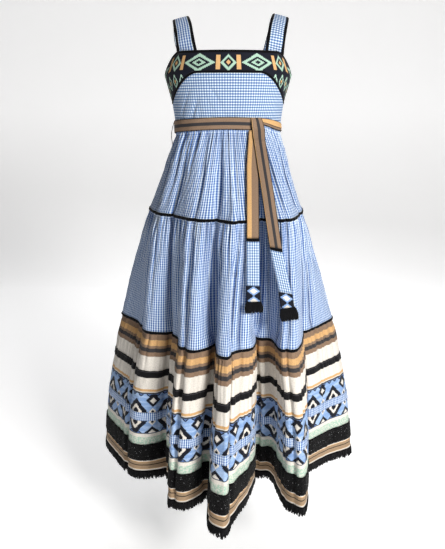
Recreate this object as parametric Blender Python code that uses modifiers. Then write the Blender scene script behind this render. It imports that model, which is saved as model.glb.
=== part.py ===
# Tiered sundress, worn form: straps, banded bodice, tie belt and three gathered skirt tiers.
# Metres, +Z up, the front faces -Y. The origin is midway between the two strap tops, on the shoulders.

import math

import bmesh
import bpy
import numpy as np
from mathutils import Matrix, Vector

# Cloth and seams
CLOTH = 0.0015
VELVET = 0.0021
TAPE = 0.0012
SEAM_GAP = 0.0003
SIDE_GAP = 0.0006
LAY_GAP = 0.0005
TRIM_WIDTH = 0.0056

# Heights below the strap tops
Z_NECK_FRONT = -0.092
Z_NECK_BACK = -0.105
Z_ARMHOLE = -0.141
Z_BAND_FRONT = -0.137
Z_BAND_SIDE = -0.210
Z_BELT = -0.2715
BELT_TILT = 0.013
Z_TIER1 = -0.485
Z_TIER2 = -0.795
Z_HEM = -1.213

# Belt
BELT_WIDTH = 0.030
BELT_THICK = 0.0018
BELT_PINCH = 0.011
BELT_CLEAR = 0.0012
SEAM_UNDER_BELT = 0.0145

# Columns round the dress, for each half
BODICE_COLUMNS = 28
TIER1_COLUMNS = 64
TIER2_COLUMNS = 68
BORDER_COLUMNS = 60
TRIM_COLUMNS = 84
FRINGE_STRANDS = 184
COLUMNS_PER_GATHER = 4

# Torso sections, a row for each level: height, half width, front depth, back depth
TORSO = (
    (-0.085, 0.142, 0.109, 0.100),
    (-0.141, 0.163, 0.121, 0.104),
    (-0.210, 0.144, 0.117, 0.096),
    (-0.262, 0.137, 0.107, 0.092),
    (-0.300, 0.137, 0.107, 0.092),
)
TORSO_POWER = 2.3

# Skirt folds, a row for each bend of the plan curve, from the left side round the front to the right
# and then round the back. Angles in degrees from the front, positive to the right; radii in metres.
# Columns: waist angle, tier 1 angle, tier 1 radius, tier 2 angle, tier 2 radius, hem angle, hem radius
FOLD_BENDS = (
    (-100, -98, 0.214, -98, 0.307, -99.5, 0.375),
    (-76, -76, 0.206, -80, 0.252, -76, 0.320),
    (-60, -62, 0.203, -60, 0.250, -60, 0.300),
    (-48, -50, 0.190, -47, 0.212, -50, 0.238),
    (-36, -38, 0.194, -37, 0.216, -40, 0.238),
    (-26, -27, 0.206, -26, 0.272, -27.5, 0.328),
    (-17, -18, 0.210, -17, 0.281, -20.5, 0.322),
    (-9, -8.5, 0.203, -8.5, 0.243, -12.5, 0.272),
    (-3, -2.5, 0.213, -4.5, 0.302, -7, 0.386),
    (2, 3, 0.230, -0.5, 0.311, -1.5, 0.411),
    (9, 9, 0.221, 3.5, 0.272, 3.2, 0.335),
    (16, 16, 0.215, 13, 0.256, 11.5, 0.262),
    (24, 23, 0.210, 22, 0.205, 27, 0.183),
    (31, 28.5, 0.218, 30, 0.212, 36, 0.188),
    (36, 33, 0.240, 26.5, 0.292, 26.8, 0.330),
    (42, 38.5, 0.244, 31.5, 0.309, 29.8, 0.376),
    (50, 46, 0.232, 38.5, 0.290, 36, 0.348),
    (62, 60, 0.212, 56, 0.244, 58, 0.260),
    (76, 76, 0.203, 74, 0.262, 75, 0.290),
    (92, 92, 0.200, 90, 0.296, 88, 0.369),
    (104, 106, 0.200, 106, 0.268, 105, 0.318),
    (116, 117, 0.196, 117, 0.232, 118, 0.262),
    (128, 128, 0.208, 129, 0.274, 130, 0.336),
    (139, 139, 0.214, 140, 0.288, 140, 0.352),
    (149, 149, 0.203, 150, 0.246, 152, 0.276),
    (160, 160, 0.207, 160, 0.262, 161, 0.318),
    (171, 171, 0.216, 171, 0.292, 170, 0.372),
    (182, 182, 0.208, 183, 0.264, 182, 0.312),
    (193, 193, 0.198, 194, 0.232, 196, 0.248),
    (205, 205, 0.209, 206, 0.278, 207, 0.340),
    (216, 216, 0.213, 216, 0.284, 216, 0.352),
    (228, 227, 0.203, 227, 0.246, 228, 0.282),
    (242, 242, 0.204, 242, 0.256, 242, 0.306),
)
SIDE_LEFT_BEND = 0
SIDE_RIGHT_BEND = 19
CURVE_STEPS = 24
TIER2_BELLY = 0.006
BORDER_BELLY = 0.012

# Gathers: how deep each tier's are, and where its rows lie between its two seams
GATHER_TIER1 = 0.0042
GATHER_TIER2 = 0.0050
GATHER_BORDER = 0.0050
BORDER_FADE = 0.25
ROWS_TIER1 = (0.0, 0.18, 0.55, 1.0)
ROWS_TIER2 = (0.0, 0.15, 0.50, 1.0)
ROWS_BORDER = (0.0, 0.09, 0.25, 0.60, 0.945)

# Sewn-on tapes of the border tier, a row for each: name, upper and lower edge as a share of the
# tier, finish
BORDER_TAPES = (
    ("ribbed_ribbon", 0.250, 0.295, "ribbed"),
    ("gingham_ribbon", 0.530, 0.586, "gingham"),
    ("boucle_tape", 0.772, 0.872, "boucle"),
)

# Hem fringe: where its heading ends, the least lock length, and how much locks lean and differ
FRINGE_HEAD = 0.957
FRINGE_LEAST = 0.012
FRINGE_LEAN = 0.004
FRINGE_UNEVEN = 0.003

# Colours of the materials
BLUE_GINGHAM = (0.42, 0.52, 0.70)
BLACK_VELVET = (0.008, 0.008, 0.010)
NAVY_PRINT = (0.05, 0.06, 0.10)
TAUPE = (0.26, 0.18, 0.13)
SOFT_BLUE = (0.25, 0.38, 0.68)
CREAM = (0.82, 0.76, 0.68)
BLACK_YARN = (0.015, 0.015, 0.018)


def clear_scene():
    for thing in list(bpy.data.objects):
        bpy.data.objects.remove(thing, do_unlink=True)


def make_material(name, colour, roughness):
    material = bpy.data.materials.new(name)
    material.use_nodes = True
    shader = material.node_tree.nodes["Principled BSDF"]
    shader.inputs["Base Color"].default_value = (*colour, 1.0)
    shader.inputs["Roughness"].default_value = roughness
    shader.inputs["Metallic"].default_value = 0.0
    return material


clear_scene()
PARTS = bpy.data.collections.new("tiered_dress")
bpy.context.scene.collection.children.link(PARTS)
FINISHES = {
    "gingham": make_material("gingham", BLUE_GINGHAM, 0.85),
    "velvet": make_material("velvet", BLACK_VELVET, 0.7),
    "print": make_material("print", NAVY_PRINT, 0.8),
    "belt": make_material("belt", TAUPE, 0.7),
    "border": make_material("border", SOFT_BLUE, 0.8),
    "ribbed": make_material("ribbed", BLACK_VELVET, 0.75),
    "boucle": make_material("boucle", BLACK_YARN, 0.9),
    "yarn": make_material("yarn", BLACK_YARN, 0.85),
    "thread": make_material("thread", CREAM, 0.7),
}


def smooth_step(value, low, high):
    t = min(max((value - low) / (high - low), 0.0), 1.0)
    return t * t * (3.0 - 2.0 * t)


def uneven(index, seed):
    """A repeatable number from 0 to 1 for each fold or gather."""
    value = math.sin(index * 12.9898 + seed * 78.233) * 43758.5453
    return value - math.floor(value)


# Torso

def torso_sizes(z):
    heights = [row[0] for row in reversed(TORSO)]
    return [float(np.interp(z, heights, [row[k] for row in reversed(TORSO)])) for k in (1, 2, 3)]


def torso_point(degrees, z, out=0.0):
    """The point of the torso's section at this height, moved out by out."""
    half_width, front, back = torso_sizes(z)
    angle = math.radians(degrees)
    depth = front if math.cos(angle) > 0 else back
    across = abs(math.sin(angle)) / (half_width + out)
    along = abs(math.cos(angle)) / (depth + out)
    radius = (across ** TORSO_POWER + along ** TORSO_POWER) ** (-1.0 / TORSO_POWER)
    return Vector((radius * math.sin(angle), -radius * math.cos(angle), z))


def around(degrees):
    """The angle from the front, from 0 to 180, whichever side it is on."""
    return abs((degrees + 180.0) % 360.0 - 180.0)


def z_neckline(degrees):
    turn = around(degrees)
    drop = smooth_step(turn, 62.0, 93.0) * (Z_ARMHOLE - Z_NECK_FRONT)
    rise = smooth_step(turn, 97.0, 115.0) * (Z_NECK_BACK - Z_ARMHOLE)
    return Z_NECK_FRONT + drop + rise


def z_band_seam(degrees):
    drop = smooth_step(around(degrees), 34.0, 82.0)
    return Z_BAND_FRONT + drop * (Z_BAND_SIDE - Z_BAND_FRONT)


def z_belt(degrees):
    return Z_BELT + BELT_TILT * math.cos(math.radians(degrees))


def z_waist_seam(degrees):
    return z_belt(degrees) - SEAM_UNDER_BELT


# Skirt

def closed_curve(points):
    """A smooth closed curve through the points, CURVE_STEPS samples from each point to the next."""
    points = np.array(points)
    count = len(points)
    samples = []
    for i in range(count):
        p0, p1, p2, p3 = (points[(i + k) % count] for k in (-1, 0, 1, 2))
        gaps = [max(np.linalg.norm(b - a), 1e-6) ** 0.5 for a, b in ((p0, p1), (p1, p2), (p2, p3))]
        slope1 = (p1 - p0) / gaps[0] - (p2 - p0) / (gaps[0] + gaps[1]) + (p2 - p1) / gaps[1]
        slope2 = (p2 - p1) / gaps[1] - (p3 - p1) / (gaps[1] + gaps[2]) + (p3 - p2) / gaps[2]
        m1, m2 = slope1 * gaps[1], slope2 * gaps[1]
        for step in range(CURVE_STEPS):
            t = step / CURVE_STEPS
            t2, t3 = t * t, t * t * t
            samples.append((2 * t3 - 3 * t2 + 1) * p1 + (t3 - 2 * t2 + t) * m1
                           + (3 * t2 - 2 * t3) * p2 + (t3 - t2) * m2)
    return np.array(samples)


def polar(degrees, radius):
    angle = math.radians(degrees)
    return (radius * math.sin(angle), -radius * math.cos(angle))


def waist_curve():
    """The torso's section under the belt, sampled in step with the folds."""
    turns = [row[0] for row in FOLD_BENDS] + [FOLD_BENDS[0][0] + 360.0]
    samples = []
    for i in range(len(FOLD_BENDS)):
        for step in range(CURVE_STEPS):
            degrees = turns[i] + (turns[i + 1] - turns[i]) * step / CURVE_STEPS
            point = torso_point(degrees, z_waist_seam(degrees))
            samples.append((point.x, point.y, point.z))
    return np.array(samples)


def level_curve(angle_column, radius_column, z):
    plan = closed_curve([polar(row[angle_column], row[radius_column]) for row in FOLD_BENDS])
    return np.column_stack([plan, np.full(len(plan), z)])


WAIST = waist_curve()
SEAM1 = level_curve(1, 2, Z_TIER1)
SEAM2 = level_curve(3, 4, Z_TIER2)
HEM = level_curve(5, 6, Z_HEM)


def outward(curve):
    """Unit normals of a closed curve in plan, pointing out."""
    run = np.roll(curve, -1, axis=0) - np.roll(curve, 1, axis=0)
    normal = np.column_stack([-run[:, 1], run[:, 0], np.zeros(len(curve))])
    normal /= np.linalg.norm(normal, axis=1)[:, None]
    centre = curve.mean(axis=0)
    if np.sum(normal * (curve - centre)) < 0:
        normal = -normal
    return normal


def arc_share(curve):
    """How far round the curve each sample lies, in metres."""
    steps = np.linalg.norm(np.diff(np.vstack([curve, curve[:1]]), axis=0), axis=1)
    return np.concatenate([[0.0], np.cumsum(steps)])


class Tier:
    """A gathered tier between two seam curves that are sampled in step."""

    def __init__(self, top, bottom, belly, gather, fade, seed):
        self.top = top
        self.bottom = bottom
        self.belly = belly
        self.gather = gather
        self.fade = fade
        self.seed = seed
        self.steps = len(top)
        top_arc = arc_share(top)
        bottom_arc = arc_share(bottom)
        self.measure = 0.5 * (top_arc / top_arc[-1] + bottom_arc / bottom_arc[-1])

    def share_at_bend(self, bend):
        return self.measure[bend * CURVE_STEPS]

    def place(self, share):
        """The curves' sample position at a share of the way round."""
        return float(np.interp(share % 1.0, self.measure, np.arange(self.steps + 1)))

    def columns(self, start, end, count, trim):
        """Sample positions of count columns from one side seam to the other."""
        reach = math.sqrt(arc_share(self.top)[-1] * arc_share(self.bottom)[-1])
        low, high = start + trim / reach, end - trim / reach
        return [low + (high - low) * i / count for i in range(count + 1)]

    def read(self, curve, position):
        low = int(math.floor(position)) % self.steps
        mix = position - math.floor(position)
        return curve[low] * (1.0 - mix) + curve[(low + 1) % self.steps] * mix

    def point(self, share, down, wave=0.0, out=0.0):
        """A point of the tier: share round, down from 0 at its top seam to 1 at its lower one."""
        position = self.place(share)
        base = self.read(self.top, position) * (1.0 - down) + self.read(self.bottom, position) * down
        blend = self.top * (1.0 - down) + self.bottom * down
        normal = self.read(outward(blend), position)
        normal /= np.linalg.norm(normal)
        radial = np.array([base[0], base[1], 0.0]) / math.hypot(base[0], base[1])
        swell = self.belly * math.sin(math.pi * down)
        return Vector(base + radial * swell + normal * (wave + out))


TIER1 = Tier(WAIST, SEAM1, 0.0, GATHER_TIER1, 1.0, 1)
TIER2 = Tier(SEAM1, SEAM2, TIER2_BELLY, GATHER_TIER2, 1.0, 2)
BORDER = Tier(SEAM2, HEM, BORDER_BELLY, GATHER_BORDER, BORDER_FADE, 3)


def gather_reach(down, fade=1.0):
    """How much of a gather's depth shows here: none at the seam, most just below it, none past fade."""
    share = down / fade
    return math.sin(math.pi * share ** 0.55) if 0.0 < share < 1.0 else 0.0


def gather_wave(column, down, tier, seed):
    """The stand-out of a column: crest, slope, trough, slope, with each gather uneven."""
    number = column // COLUMNS_PER_GATHER
    phase = column % COLUMNS_PER_GATHER
    height = (0.0, 1.0, 0.0, -1.0)[phase]
    size = 0.55 + 0.45 * uneven(number, seed)
    fade = 1.0 if down < 0.2 else 0.35 + 0.65 * uneven(number, seed + 7)
    return tier.gather * size * fade * height * gather_reach(down, tier.fade)


# Mesh helpers

def link_object(name, mesh, finish):
    thing = bpy.data.objects.new(name, mesh)
    thing.data.materials.append(FINISHES[finish])
    PARTS.objects.link(thing)
    return thing


def make_wall(name, outer, inner, finish, closed=False, ridge=False):
    """A cloth wall lofted as an outer and an inner skin, so that its edges stay level at the seams.

    A bent quad is split along the diagonal that lies inside, or with ridge the one that stands out,
    so that what lies on it stays clear of it.
    """
    work = bmesh.new()
    skins = [[[work.verts.new(point) for point in row] for row in rows] for rows in (outer, inner)]
    columns = len(outer[0])
    spans = columns if closed else columns - 1
    last = len(outer) - 1
    for k in range(last):
        for i in range(spans):
            j = (i + 1) % columns
            a, b, c, d = outer[k][i], outer[k + 1][i], outer[k + 1][j], outer[k][j]
            facing = (b - a).cross(d - a)
            ac_inside = ((a + c) - (b + d)).dot(facing) < 0
            for side, skin in enumerate(skins):
                corners = (skin[k][i], skin[k + 1][i], skin[k + 1][j], skin[k][j])
                order = (0, 1, 2, 3) if ac_inside != ridge else (1, 2, 3, 0)
                p, q, r, t = (corners[n] for n in order)
                for face in ((p, q, r), (p, r, t)):
                    work.faces.new(face if side == 0 else tuple(reversed(face)))
    for i in range(spans):
        j = (i + 1) % columns
        work.faces.new((skins[0][0][j], skins[1][0][j], skins[1][0][i], skins[0][0][i]))
        work.faces.new((skins[0][last][i], skins[1][last][i], skins[1][last][j], skins[0][last][j]))
    if not closed:
        for k in range(last):
            work.faces.new((skins[0][k][0], skins[1][k][0], skins[1][k + 1][0], skins[0][k + 1][0]))
            work.faces.new((skins[0][k + 1][-1], skins[1][k + 1][-1], skins[1][k][-1], skins[0][k][-1]))
    mesh = bpy.data.meshes.new(name)
    work.to_mesh(mesh)
    work.free()
    mesh.shade_smooth()
    return link_object(name, mesh, finish)


def halves():
    """Name and bends of the front and back half of a tier, cut at the side seams."""
    return (("front", SIDE_LEFT_BEND, SIDE_RIGHT_BEND), ("back", SIDE_RIGHT_BEND, None))


def edge_shares(tier, upper_gap, lower_gap):
    """Shares down at which a tier's wall starts and ends, once its seam gaps are cut back."""
    drop = abs(tier.top[:, 2].mean() - tier.bottom[:, 2].mean())
    return upper_gap / drop, 1.0 - lower_gap / drop


def tier_skins(tier, columns, rows, first, last):
    """Outer and inner rows of one half of a tier, its gathers raised."""
    start = tier.share_at_bend(first)
    end = 1.0 if last is None else tier.share_at_bend(last)
    shares = tier.columns(start, end, columns, SIDE_GAP / 2)
    outer, inner = [], []
    for down in rows:
        outer_line, inner_line = [], []
        for column, share in enumerate(shares):
            wave = gather_wave(column, down, tier, tier.seed + first)
            if column in (0, columns):
                wave = 0.0
            outer_line.append(tier.point(share, down, wave))
            inner_line.append(tier.point(share, down, wave, -CLOTH))
        outer.append(outer_line)
        inner.append(inner_line)
    return outer, inner


def make_tiers():
    seam = TRIM_WIDTH / 2
    specs = (
        ("tier1", TIER1, TIER1_COLUMNS, ROWS_TIER1, SEAM_GAP, seam, "gingham"),
        ("tier2", TIER2, TIER2_COLUMNS, ROWS_TIER2, seam, seam, "gingham"),
        ("border", BORDER, BORDER_COLUMNS, ROWS_BORDER, seam, 0.0, "border"),
    )
    walls = {}
    for name, tier, columns, rows, upper_gap, lower_gap, finish in specs:
        upper, lower = edge_shares(tier, upper_gap, lower_gap)
        rows = (upper, *rows[1:-1], rows[-1] * lower)
        for tag, first, last in halves():
            outer, inner = tier_skins(tier, columns, rows, first, last)
            make_wall(f"{name}_{tag}", outer, inner, finish)
            walls[f"{name}_{tag}"] = outer
    return walls


def make_seam_trim(name, upper, lower, columns):
    """The velvet trim that closes the seam between two tiers, a little thicker than the cloth."""
    reach = TRIM_WIDTH / 2 - SEAM_GAP
    above = edge_shares(upper, 0.0, reach)[1]
    below = edge_shares(lower, reach, 0.0)[0]
    proud = (VELVET - CLOTH) / 2
    skins = []
    for out in (proud, proud - VELVET):
        rows = [[], []]
        for i in range(columns):
            share = i / columns
            position = lower.place(share)
            upper_share = float(np.interp(position, np.arange(upper.steps + 1), upper.measure))
            rows[0].append(upper.point(upper_share, above, 0.0, out))
            rows[1].append(lower.point(share, below, 0.0, out))
        skins.append(rows)
    return make_wall(name, *skins, "velvet", closed=True)


def ring_line(front, back, row, next_row, mix):
    """One level round the border, read from its two walls and joined at the side seams."""
    lines = []
    for grid in (front, back):
        lines.append([grid[row][i].lerp(grid[next_row][i], mix) for i in range(len(grid[0]))])
    left_seam = (lines[1][-1] + lines[0][0]) / 2
    right_seam = (lines[0][-1] + lines[1][0]) / 2
    return [left_seam] + lines[0][1:-1] + [right_seam] + lines[1][1:-1]


def make_border_tapes(walls):
    """Tapes sewn on the border: taken from the wall's own points and moved out."""
    levels = list(ROWS_BORDER)
    for name, upper_edge, lower_edge, finish in BORDER_TAPES:
        rows = []
        for down in (upper_edge, lower_edge):
            k = max(i for i in range(len(levels) - 1) if levels[i] <= down + 1e-9)
            mix = (down - levels[k]) / (levels[k + 1] - levels[k])
            rows.append(ring_line(walls["border_front"], walls["border_back"], k, k + 1, mix))
        outer, inner = (move_out(rows, reach) for reach in (LAY_GAP + TAPE, LAY_GAP))
        make_wall(name, outer, inner, finish, closed=True, ridge=True)


def move_out(rows, reach):
    """Move the points of a closed band of rows out, level and square to its plan curve."""
    moved = []
    for row in rows:
        count = len(row)
        line = []
        for i in range(count):
            before = (row[i] - row[i - 1]).normalized()
            after = (row[(i + 1) % count] - row[i]).normalized()
            run = before + after
            away = Vector((run.y, -run.x, 0.0)).normalized()
            line.append(row[i] + away * reach)
        moved.append(line)
    return moved


def make_hem_fringe():
    """The fringe: a narrow heading strip, parted from the hem, with a pointed lock under each face."""
    top = ROWS_BORDER[-1] + SEAM_GAP / abs(Z_HEM - Z_TIER2)
    outer, inner = [[], []], [[], []]
    for i in range(FRINGE_STRANDS):
        share = i / FRINGE_STRANDS
        for k, down in enumerate((top, FRINGE_HEAD)):
            outer[k].append(BORDER.point(share, down))
            inner[k].append(BORDER.point(share, down, 0.0, -CLOTH))
    work = bmesh.new()
    loops = [[work.verts.new(point) for point in line] for line in (*outer, *reversed(inner))]
    roots = []
    for i in range(FRINGE_STRANDS):
        j = (i + 1) % FRINGE_STRANDS
        for k in range(4):
            a, b = loops[k], loops[(k + 1) % 4]
            face = work.faces.new((a[i], b[i], b[j], a[j]))
            if k == 1:
                roots.append(face)
    for number, face in enumerate(roots):
        middle = face.calc_center_median()
        tip = BORDER.point((number + 0.5) / FRINGE_STRANDS, 1.0, 0.0, -CLOTH / 2)
        lean = (uneven(number, 11) - 0.5) * FRINGE_LEAN
        height = min(tip.z + FRINGE_UNEVEN * uneven(number, 12), middle.z - FRINGE_LEAST)
        made = bmesh.ops.poke(work, faces=[face])["verts"][0]
        made.co = Vector((tip.x + lean, tip.y, height))
    bmesh.ops.recalc_face_normals(work, faces=work.faces[:])
    mesh = bpy.data.meshes.new("hem_fringe")
    work.to_mesh(mesh)
    work.free()
    return link_object("hem_fringe", mesh, "yarn")


# Bodice

def torso_band(name, low, high, lines, finish, thickness, out, columns, closed=False):
    """A wall on the torso from angle low to high, through lines whose heights follow the angle."""
    skins = []
    for reach in (out, out - thickness):
        grid = []
        for line in lines:
            turns = [low + (high - low) * i / columns for i in range(columns if closed else columns + 1)]
            grid.append([torso_point(degrees, line(degrees), reach) for degrees in turns])
        skins.append(grid)
    return make_wall(name, *skins, finish, closed)


def between(upper, lower, share):
    """The line that lies this share of the way from an upper line to a lower one."""
    return lambda degrees: upper(degrees) + (lower(degrees) - upper(degrees)) * share


def slant(height, degrees):
    """How much wider a level trim must be cut where its line climbs, so that it keeps its width."""
    before, after = degrees - 1.0, degrees + 1.0
    run = (torso_point(after, height(after)) - torso_point(before, height(before)))
    return run.length / math.hypot(run.x, run.y)


def edge_line(height, shift):
    """A line that stays shift above another line of the bodice, square to it."""
    return lambda degrees: height(degrees) + shift * slant(height, degrees)


def belt_top(degrees):
    return z_belt(degrees) + BELT_WIDTH / 2


def make_bodice():
    side_turn = math.degrees(SIDE_GAP / 2 / TORSO[1][1])
    spans = (("front", -90 + side_turn, 90 - side_turn), ("back", 90 + side_turn, 270 - side_turn))
    seam = TRIM_WIDTH / 2
    band_low = edge_line(z_band_seam, seam)
    panel_top = edge_line(z_band_seam, -seam)
    band_lines = (z_neckline, between(z_neckline, band_low, 0.5), band_low)
    panel_lines = (panel_top, between(panel_top, belt_top, 0.5), belt_top, z_waist_seam)
    for tag, low, high in spans:
        torso_band(f"band_{tag}", low, high, band_lines, "print", CLOTH, 0.0, BODICE_COLUMNS)
        torso_band(f"bodice_{tag}", low, high, panel_lines, "gingham", CLOTH, 0.0, BODICE_COLUMNS)
    proud = (VELVET - CLOTH) / 2
    ring = 2 * BODICE_COLUMNS
    neck_lines = (edge_line(z_neckline, TRIM_WIDTH), edge_line(z_neckline, SEAM_GAP))
    seam_lines = (edge_line(z_band_seam, seam - SEAM_GAP), edge_line(z_band_seam, SEAM_GAP - seam))
    torso_band("neck_trim", 0, 360, neck_lines, "velvet", VELVET, proud, ring, True)
    torso_band("band_trim", 0, 360, seam_lines, "velvet", VELVET, proud, ring, True)


# Straps, a row for each station from the front over the shoulder to the back: inner edge x, y, z,
# outer edge x, y, z, then how far both straps sit to the right and how much lower the left one hangs.
STRAP_STATIONS = (
    (0.0885, -0.0950, -0.0580, 0.1320, -0.0700, -0.0640, 0.0052, 0.0010),
    (0.0960, -0.0660, -0.0210, 0.1380, -0.0540, -0.0300, 0.0055, 0.0035),
    (0.1040, -0.0300, 0.0010, 0.1430, -0.0260, -0.0085, 0.0060, 0.0055),
    (0.1085, 0.0040, 0.0048, 0.1450, 0.0040, -0.0045, 0.0060, 0.0055),
    (0.1060, 0.0380, -0.0085, 0.1440, 0.0350, -0.0160, 0.0045, 0.0040),
    (0.1000, 0.0660, -0.0460, 0.1410, 0.0580, -0.0520, 0.0020, 0.0010),
)
# Seats on the neck trim, inner and outer edge. In front they are columns of the trim, so that a
# strap's end follows the trim's line where it drops to the armhole; at the back they are degrees.
STRAP_FRONT = {"left": (6, 10), "right": (7, 11)}
STRAP_BACK = (134.0, 115.5)
STRAP_COLUMNS = 4
STRAP_STEPS = 2
STRAP_CAMBER = 0.002
EDGE_TRIM = 0.0055


def strap_seat(degrees):
    """The height of the neck trim's upper edge, where a strap ends."""
    return edge_line(z_neckline, TRIM_WIDTH + SEAM_GAP)(degrees)


def strap_seats(side, share, out):
    """The front and back seat of a strap at a share of its width, on the chord of its column."""
    hand = 1.0 if side == "right" else -1.0
    turns = [column * 180.0 / BODICE_COLUMNS for column in STRAP_FRONT[side]]
    column = min(int(share * STRAP_COLUMNS), STRAP_COLUMNS - 1)
    mix = share * STRAP_COLUMNS - column
    seats = []
    for inner, outer in (turns, STRAP_BACK):
        corners = []
        for k in (column, column + 1):
            degrees = hand * (inner + (outer - inner) * k / STRAP_COLUMNS)
            corners.append(torso_point(degrees, strap_seat(degrees), out))
        seats.append(corners[0].lerp(corners[1], mix))
    return seats


def strap_station(side, edge, row):
    """A station's point on the inner edge, 0, or the outer one, 1."""
    x, y, z = row[3 * edge:3 * edge + 3]
    across, lower = row[6:]
    if side == "right":
        return Vector((x + across, y, z))
    return Vector((across - x, y, z - lower))


def strap_edges(side):
    """The inner and outer edge lines of a strap, smooth through the stations."""
    lines = []
    for edge in (0, 1):
        first, last = strap_seats(side, edge, 0.0)
        knots = [first] + [strap_station(side, edge, row) for row in STRAP_STATIONS] + [last]
        line = []
        for i in range(len(knots) - 1):
            before = knots[i - 1] if i > 0 else knots[i] * 2 - knots[i + 1]
            after = knots[i + 2] if i + 2 < len(knots) else knots[i + 1] * 2 - knots[i]
            for step in range(STRAP_STEPS):
                t = step / STRAP_STEPS
                slope1, slope2 = (knots[i + 1] - before) / 2, (after - knots[i]) / 2
                line.append(knots[i] * (2 * t ** 3 - 3 * t ** 2 + 1) + slope1 * (t ** 3 - 2 * t ** 2 + t)
                            + knots[i + 1] * (3 * t ** 2 - 2 * t ** 3) + slope2 * (t ** 3 - t ** 2))
        lines.append(line + [knots[-1]])
    return lines


def strap_grid(side, low, high, out, columns):
    """Rows along the strap, from share low to high across it, moved out square to it.

    The ends follow the torso's curve so that they sit on the neck trim.
    """
    inner, outer = strap_edges(side)
    rows = []
    count = len(inner)
    for k in range(count):
        after, before = min(k + 1, count - 1), max(k - 1, 0)
        along = (inner[after] + outer[after]) - (inner[before] + outer[before])
        across = outer[k] - inner[k]
        normal = across.cross(along).normalized()
        if side == "left":
            normal = -normal
        line = []
        for i in range(columns + 1):
            share = low + (high - low) * i / columns
            if k == 0:
                line.append(strap_seats(side, share, out)[0])
            elif k == count - 1:
                line.append(strap_seats(side, share, out)[1])
            else:
                camber = 4 * share * (1 - share) * STRAP_CAMBER
                line.append(inner[k].lerp(outer[k], share) + normal * (out + camber))
        rows.append(line)
    return rows


def make_straps():
    edge = EDGE_TRIM / (STRAP_STATIONS[3][3] - STRAP_STATIONS[3][0])
    pieces = (
        ("", 0.0, 1.0, 0.0, CLOTH, STRAP_COLUMNS, "gingham"),
        ("_trim_inner", 0.0, edge * 0.8, LAY_GAP + TAPE, TAPE, 1, "velvet"),
        ("_trim_outer", 1.0 - edge, 1.0, LAY_GAP + TAPE, TAPE, 1, "velvet"),
    )
    for side in ("left", "right"):
        for tag, low, high, out, thickness, columns, finish in pieces:
            skins = [strap_grid(side, low, high, reach, columns) for reach in (out, out - thickness)]
            if side == "right":
                skins = [[list(reversed(row)) for row in skin] for skin in skins]
            make_wall(f"strap_{side}{tag}", *skins, finish)


# Belt

def belt_half_height(degrees):
    """Half the belt's width: pinched where the knot gathers it at the right front."""
    turn = (degrees + 180.0) % 360.0 - 180.0
    pinch = smooth_step(turn, 26.0, 34.0) * (1.0 - smooth_step(turn, 46.0, 88.0))
    return (BELT_WIDTH - BELT_PINCH * pinch) / 2


def make_belt_wrap():
    columns = 2 * BODICE_COLUMNS
    lines = (lambda a: z_belt(a) + belt_half_height(a), lambda a: z_belt(a) - belt_half_height(a))
    return torso_band("belt_wrap", 0, 360, lines, "belt", BELT_THICK, BELT_CLEAR + BELT_THICK,
                      columns, True)


# The knot: where it sits, how far each way it reads the belt's run, its size before it is rounded,
# the share of its depth from its middle to its back, and how far it rides above the belt's middle
KNOT_DEGREES = 33.0
KNOT_SPAN = 4.0
KNOT_SIZE = (0.038, 0.020, 0.042)
KNOT_SEAT = 0.49
KNOT_RISE = 0.003


def make_belt_knot():
    """The knot: a soft block, a little squarer than a ball, seated on the belt."""
    mesh = bpy.data.meshes.new("belt_knot")
    work = bmesh.new()
    bmesh.ops.create_cube(work, size=1.0)
    work.to_mesh(mesh)
    work.free()
    mesh.transform(Matrix.Diagonal((*KNOT_SIZE, 1.0)))
    mesh.shade_smooth()
    knot = link_object("belt_knot", mesh, "belt")
    soft = knot.modifiers.new("soft", "SUBSURF")
    soft.levels = 2
    soft.render_levels = 2
    z = z_belt(KNOT_DEGREES)
    belt_run = torso_point(KNOT_DEGREES + KNOT_SPAN, z) - torso_point(KNOT_DEGREES - KNOT_SPAN, z)
    turn = math.atan2(belt_run.y, belt_run.x)
    away = Vector((math.sin(turn), -math.cos(turn), 0.0))
    surface = torso_point(KNOT_DEGREES, z, BELT_CLEAR + BELT_THICK)
    knot.location = surface + away * (KNOT_SIZE[1] * KNOT_SEAT) + Vector((0.0, 0.0, KNOT_RISE))
    knot.rotation_euler = (0.0, 0.0, turn)
    return knot


# Belt ends, a row for each station from the knot down: height, middle of the strip from the centre
# line. Left and right are as the photo shows them.
BELT_END_LINES = {
    "left": ((-0.2746, 0.0640), (-0.360, 0.0590), (-0.525, 0.0581), (-0.636, 0.0590), (-0.703, 0.0617)),
    "right": ((-0.275, 0.0730), (-0.350, 0.0850), (-0.430, 0.0985), (-0.550, 0.1153),
              (-0.650, 0.1358), (-0.716, 0.1436)),
}
# Pieces of each end, a row for each: name, width, finish, upper height left, upper height right
BELT_END_PIECES = (
    ("strip", 0.0290, "belt", -0.2746, -0.2750),
    ("trim", 0.0310, "velvet", -0.522, -0.547),
    ("gingham", 0.0310, "gingham", -0.528, -0.553),
    ("tab", 0.0345, "print", -0.636, -0.648),
)
BELT_END_THICK = {"strip": 0.0016, "trim": 0.0022, "gingham": 0.0015, "tab": 0.0020}
BELT_FRINGE_TOP = {"left": -0.677, "right": -0.685}
BELT_FRINGE_END = {"left": -0.7025, "right": -0.716}
BELT_FRINGE_WIDTH = 0.0370
BELT_FRINGE_HEAD = 0.004
BELT_FRINGE_STRANDS = 12
BELT_FRINGE_THICK = 0.004
BELT_FRINGE_SPREAD = 0.004
BELT_ROW_HEIGHT = 0.030
# How the ends lie: a strip looks this far beyond itself for the folds it lies on; above the height
# where it leaves the belt it stays in front of the belt as it is at this angle; the right end lies
# this much in front of the left one while they are nearer than this
BELT_END_LOOK = (0.004, 0.012)
BELT_END_LEAVES = -0.283
BELT_END_TURN = 25.0
BELT_END_LAYER = 0.0036
BELT_END_SPREAD = 0.006


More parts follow.
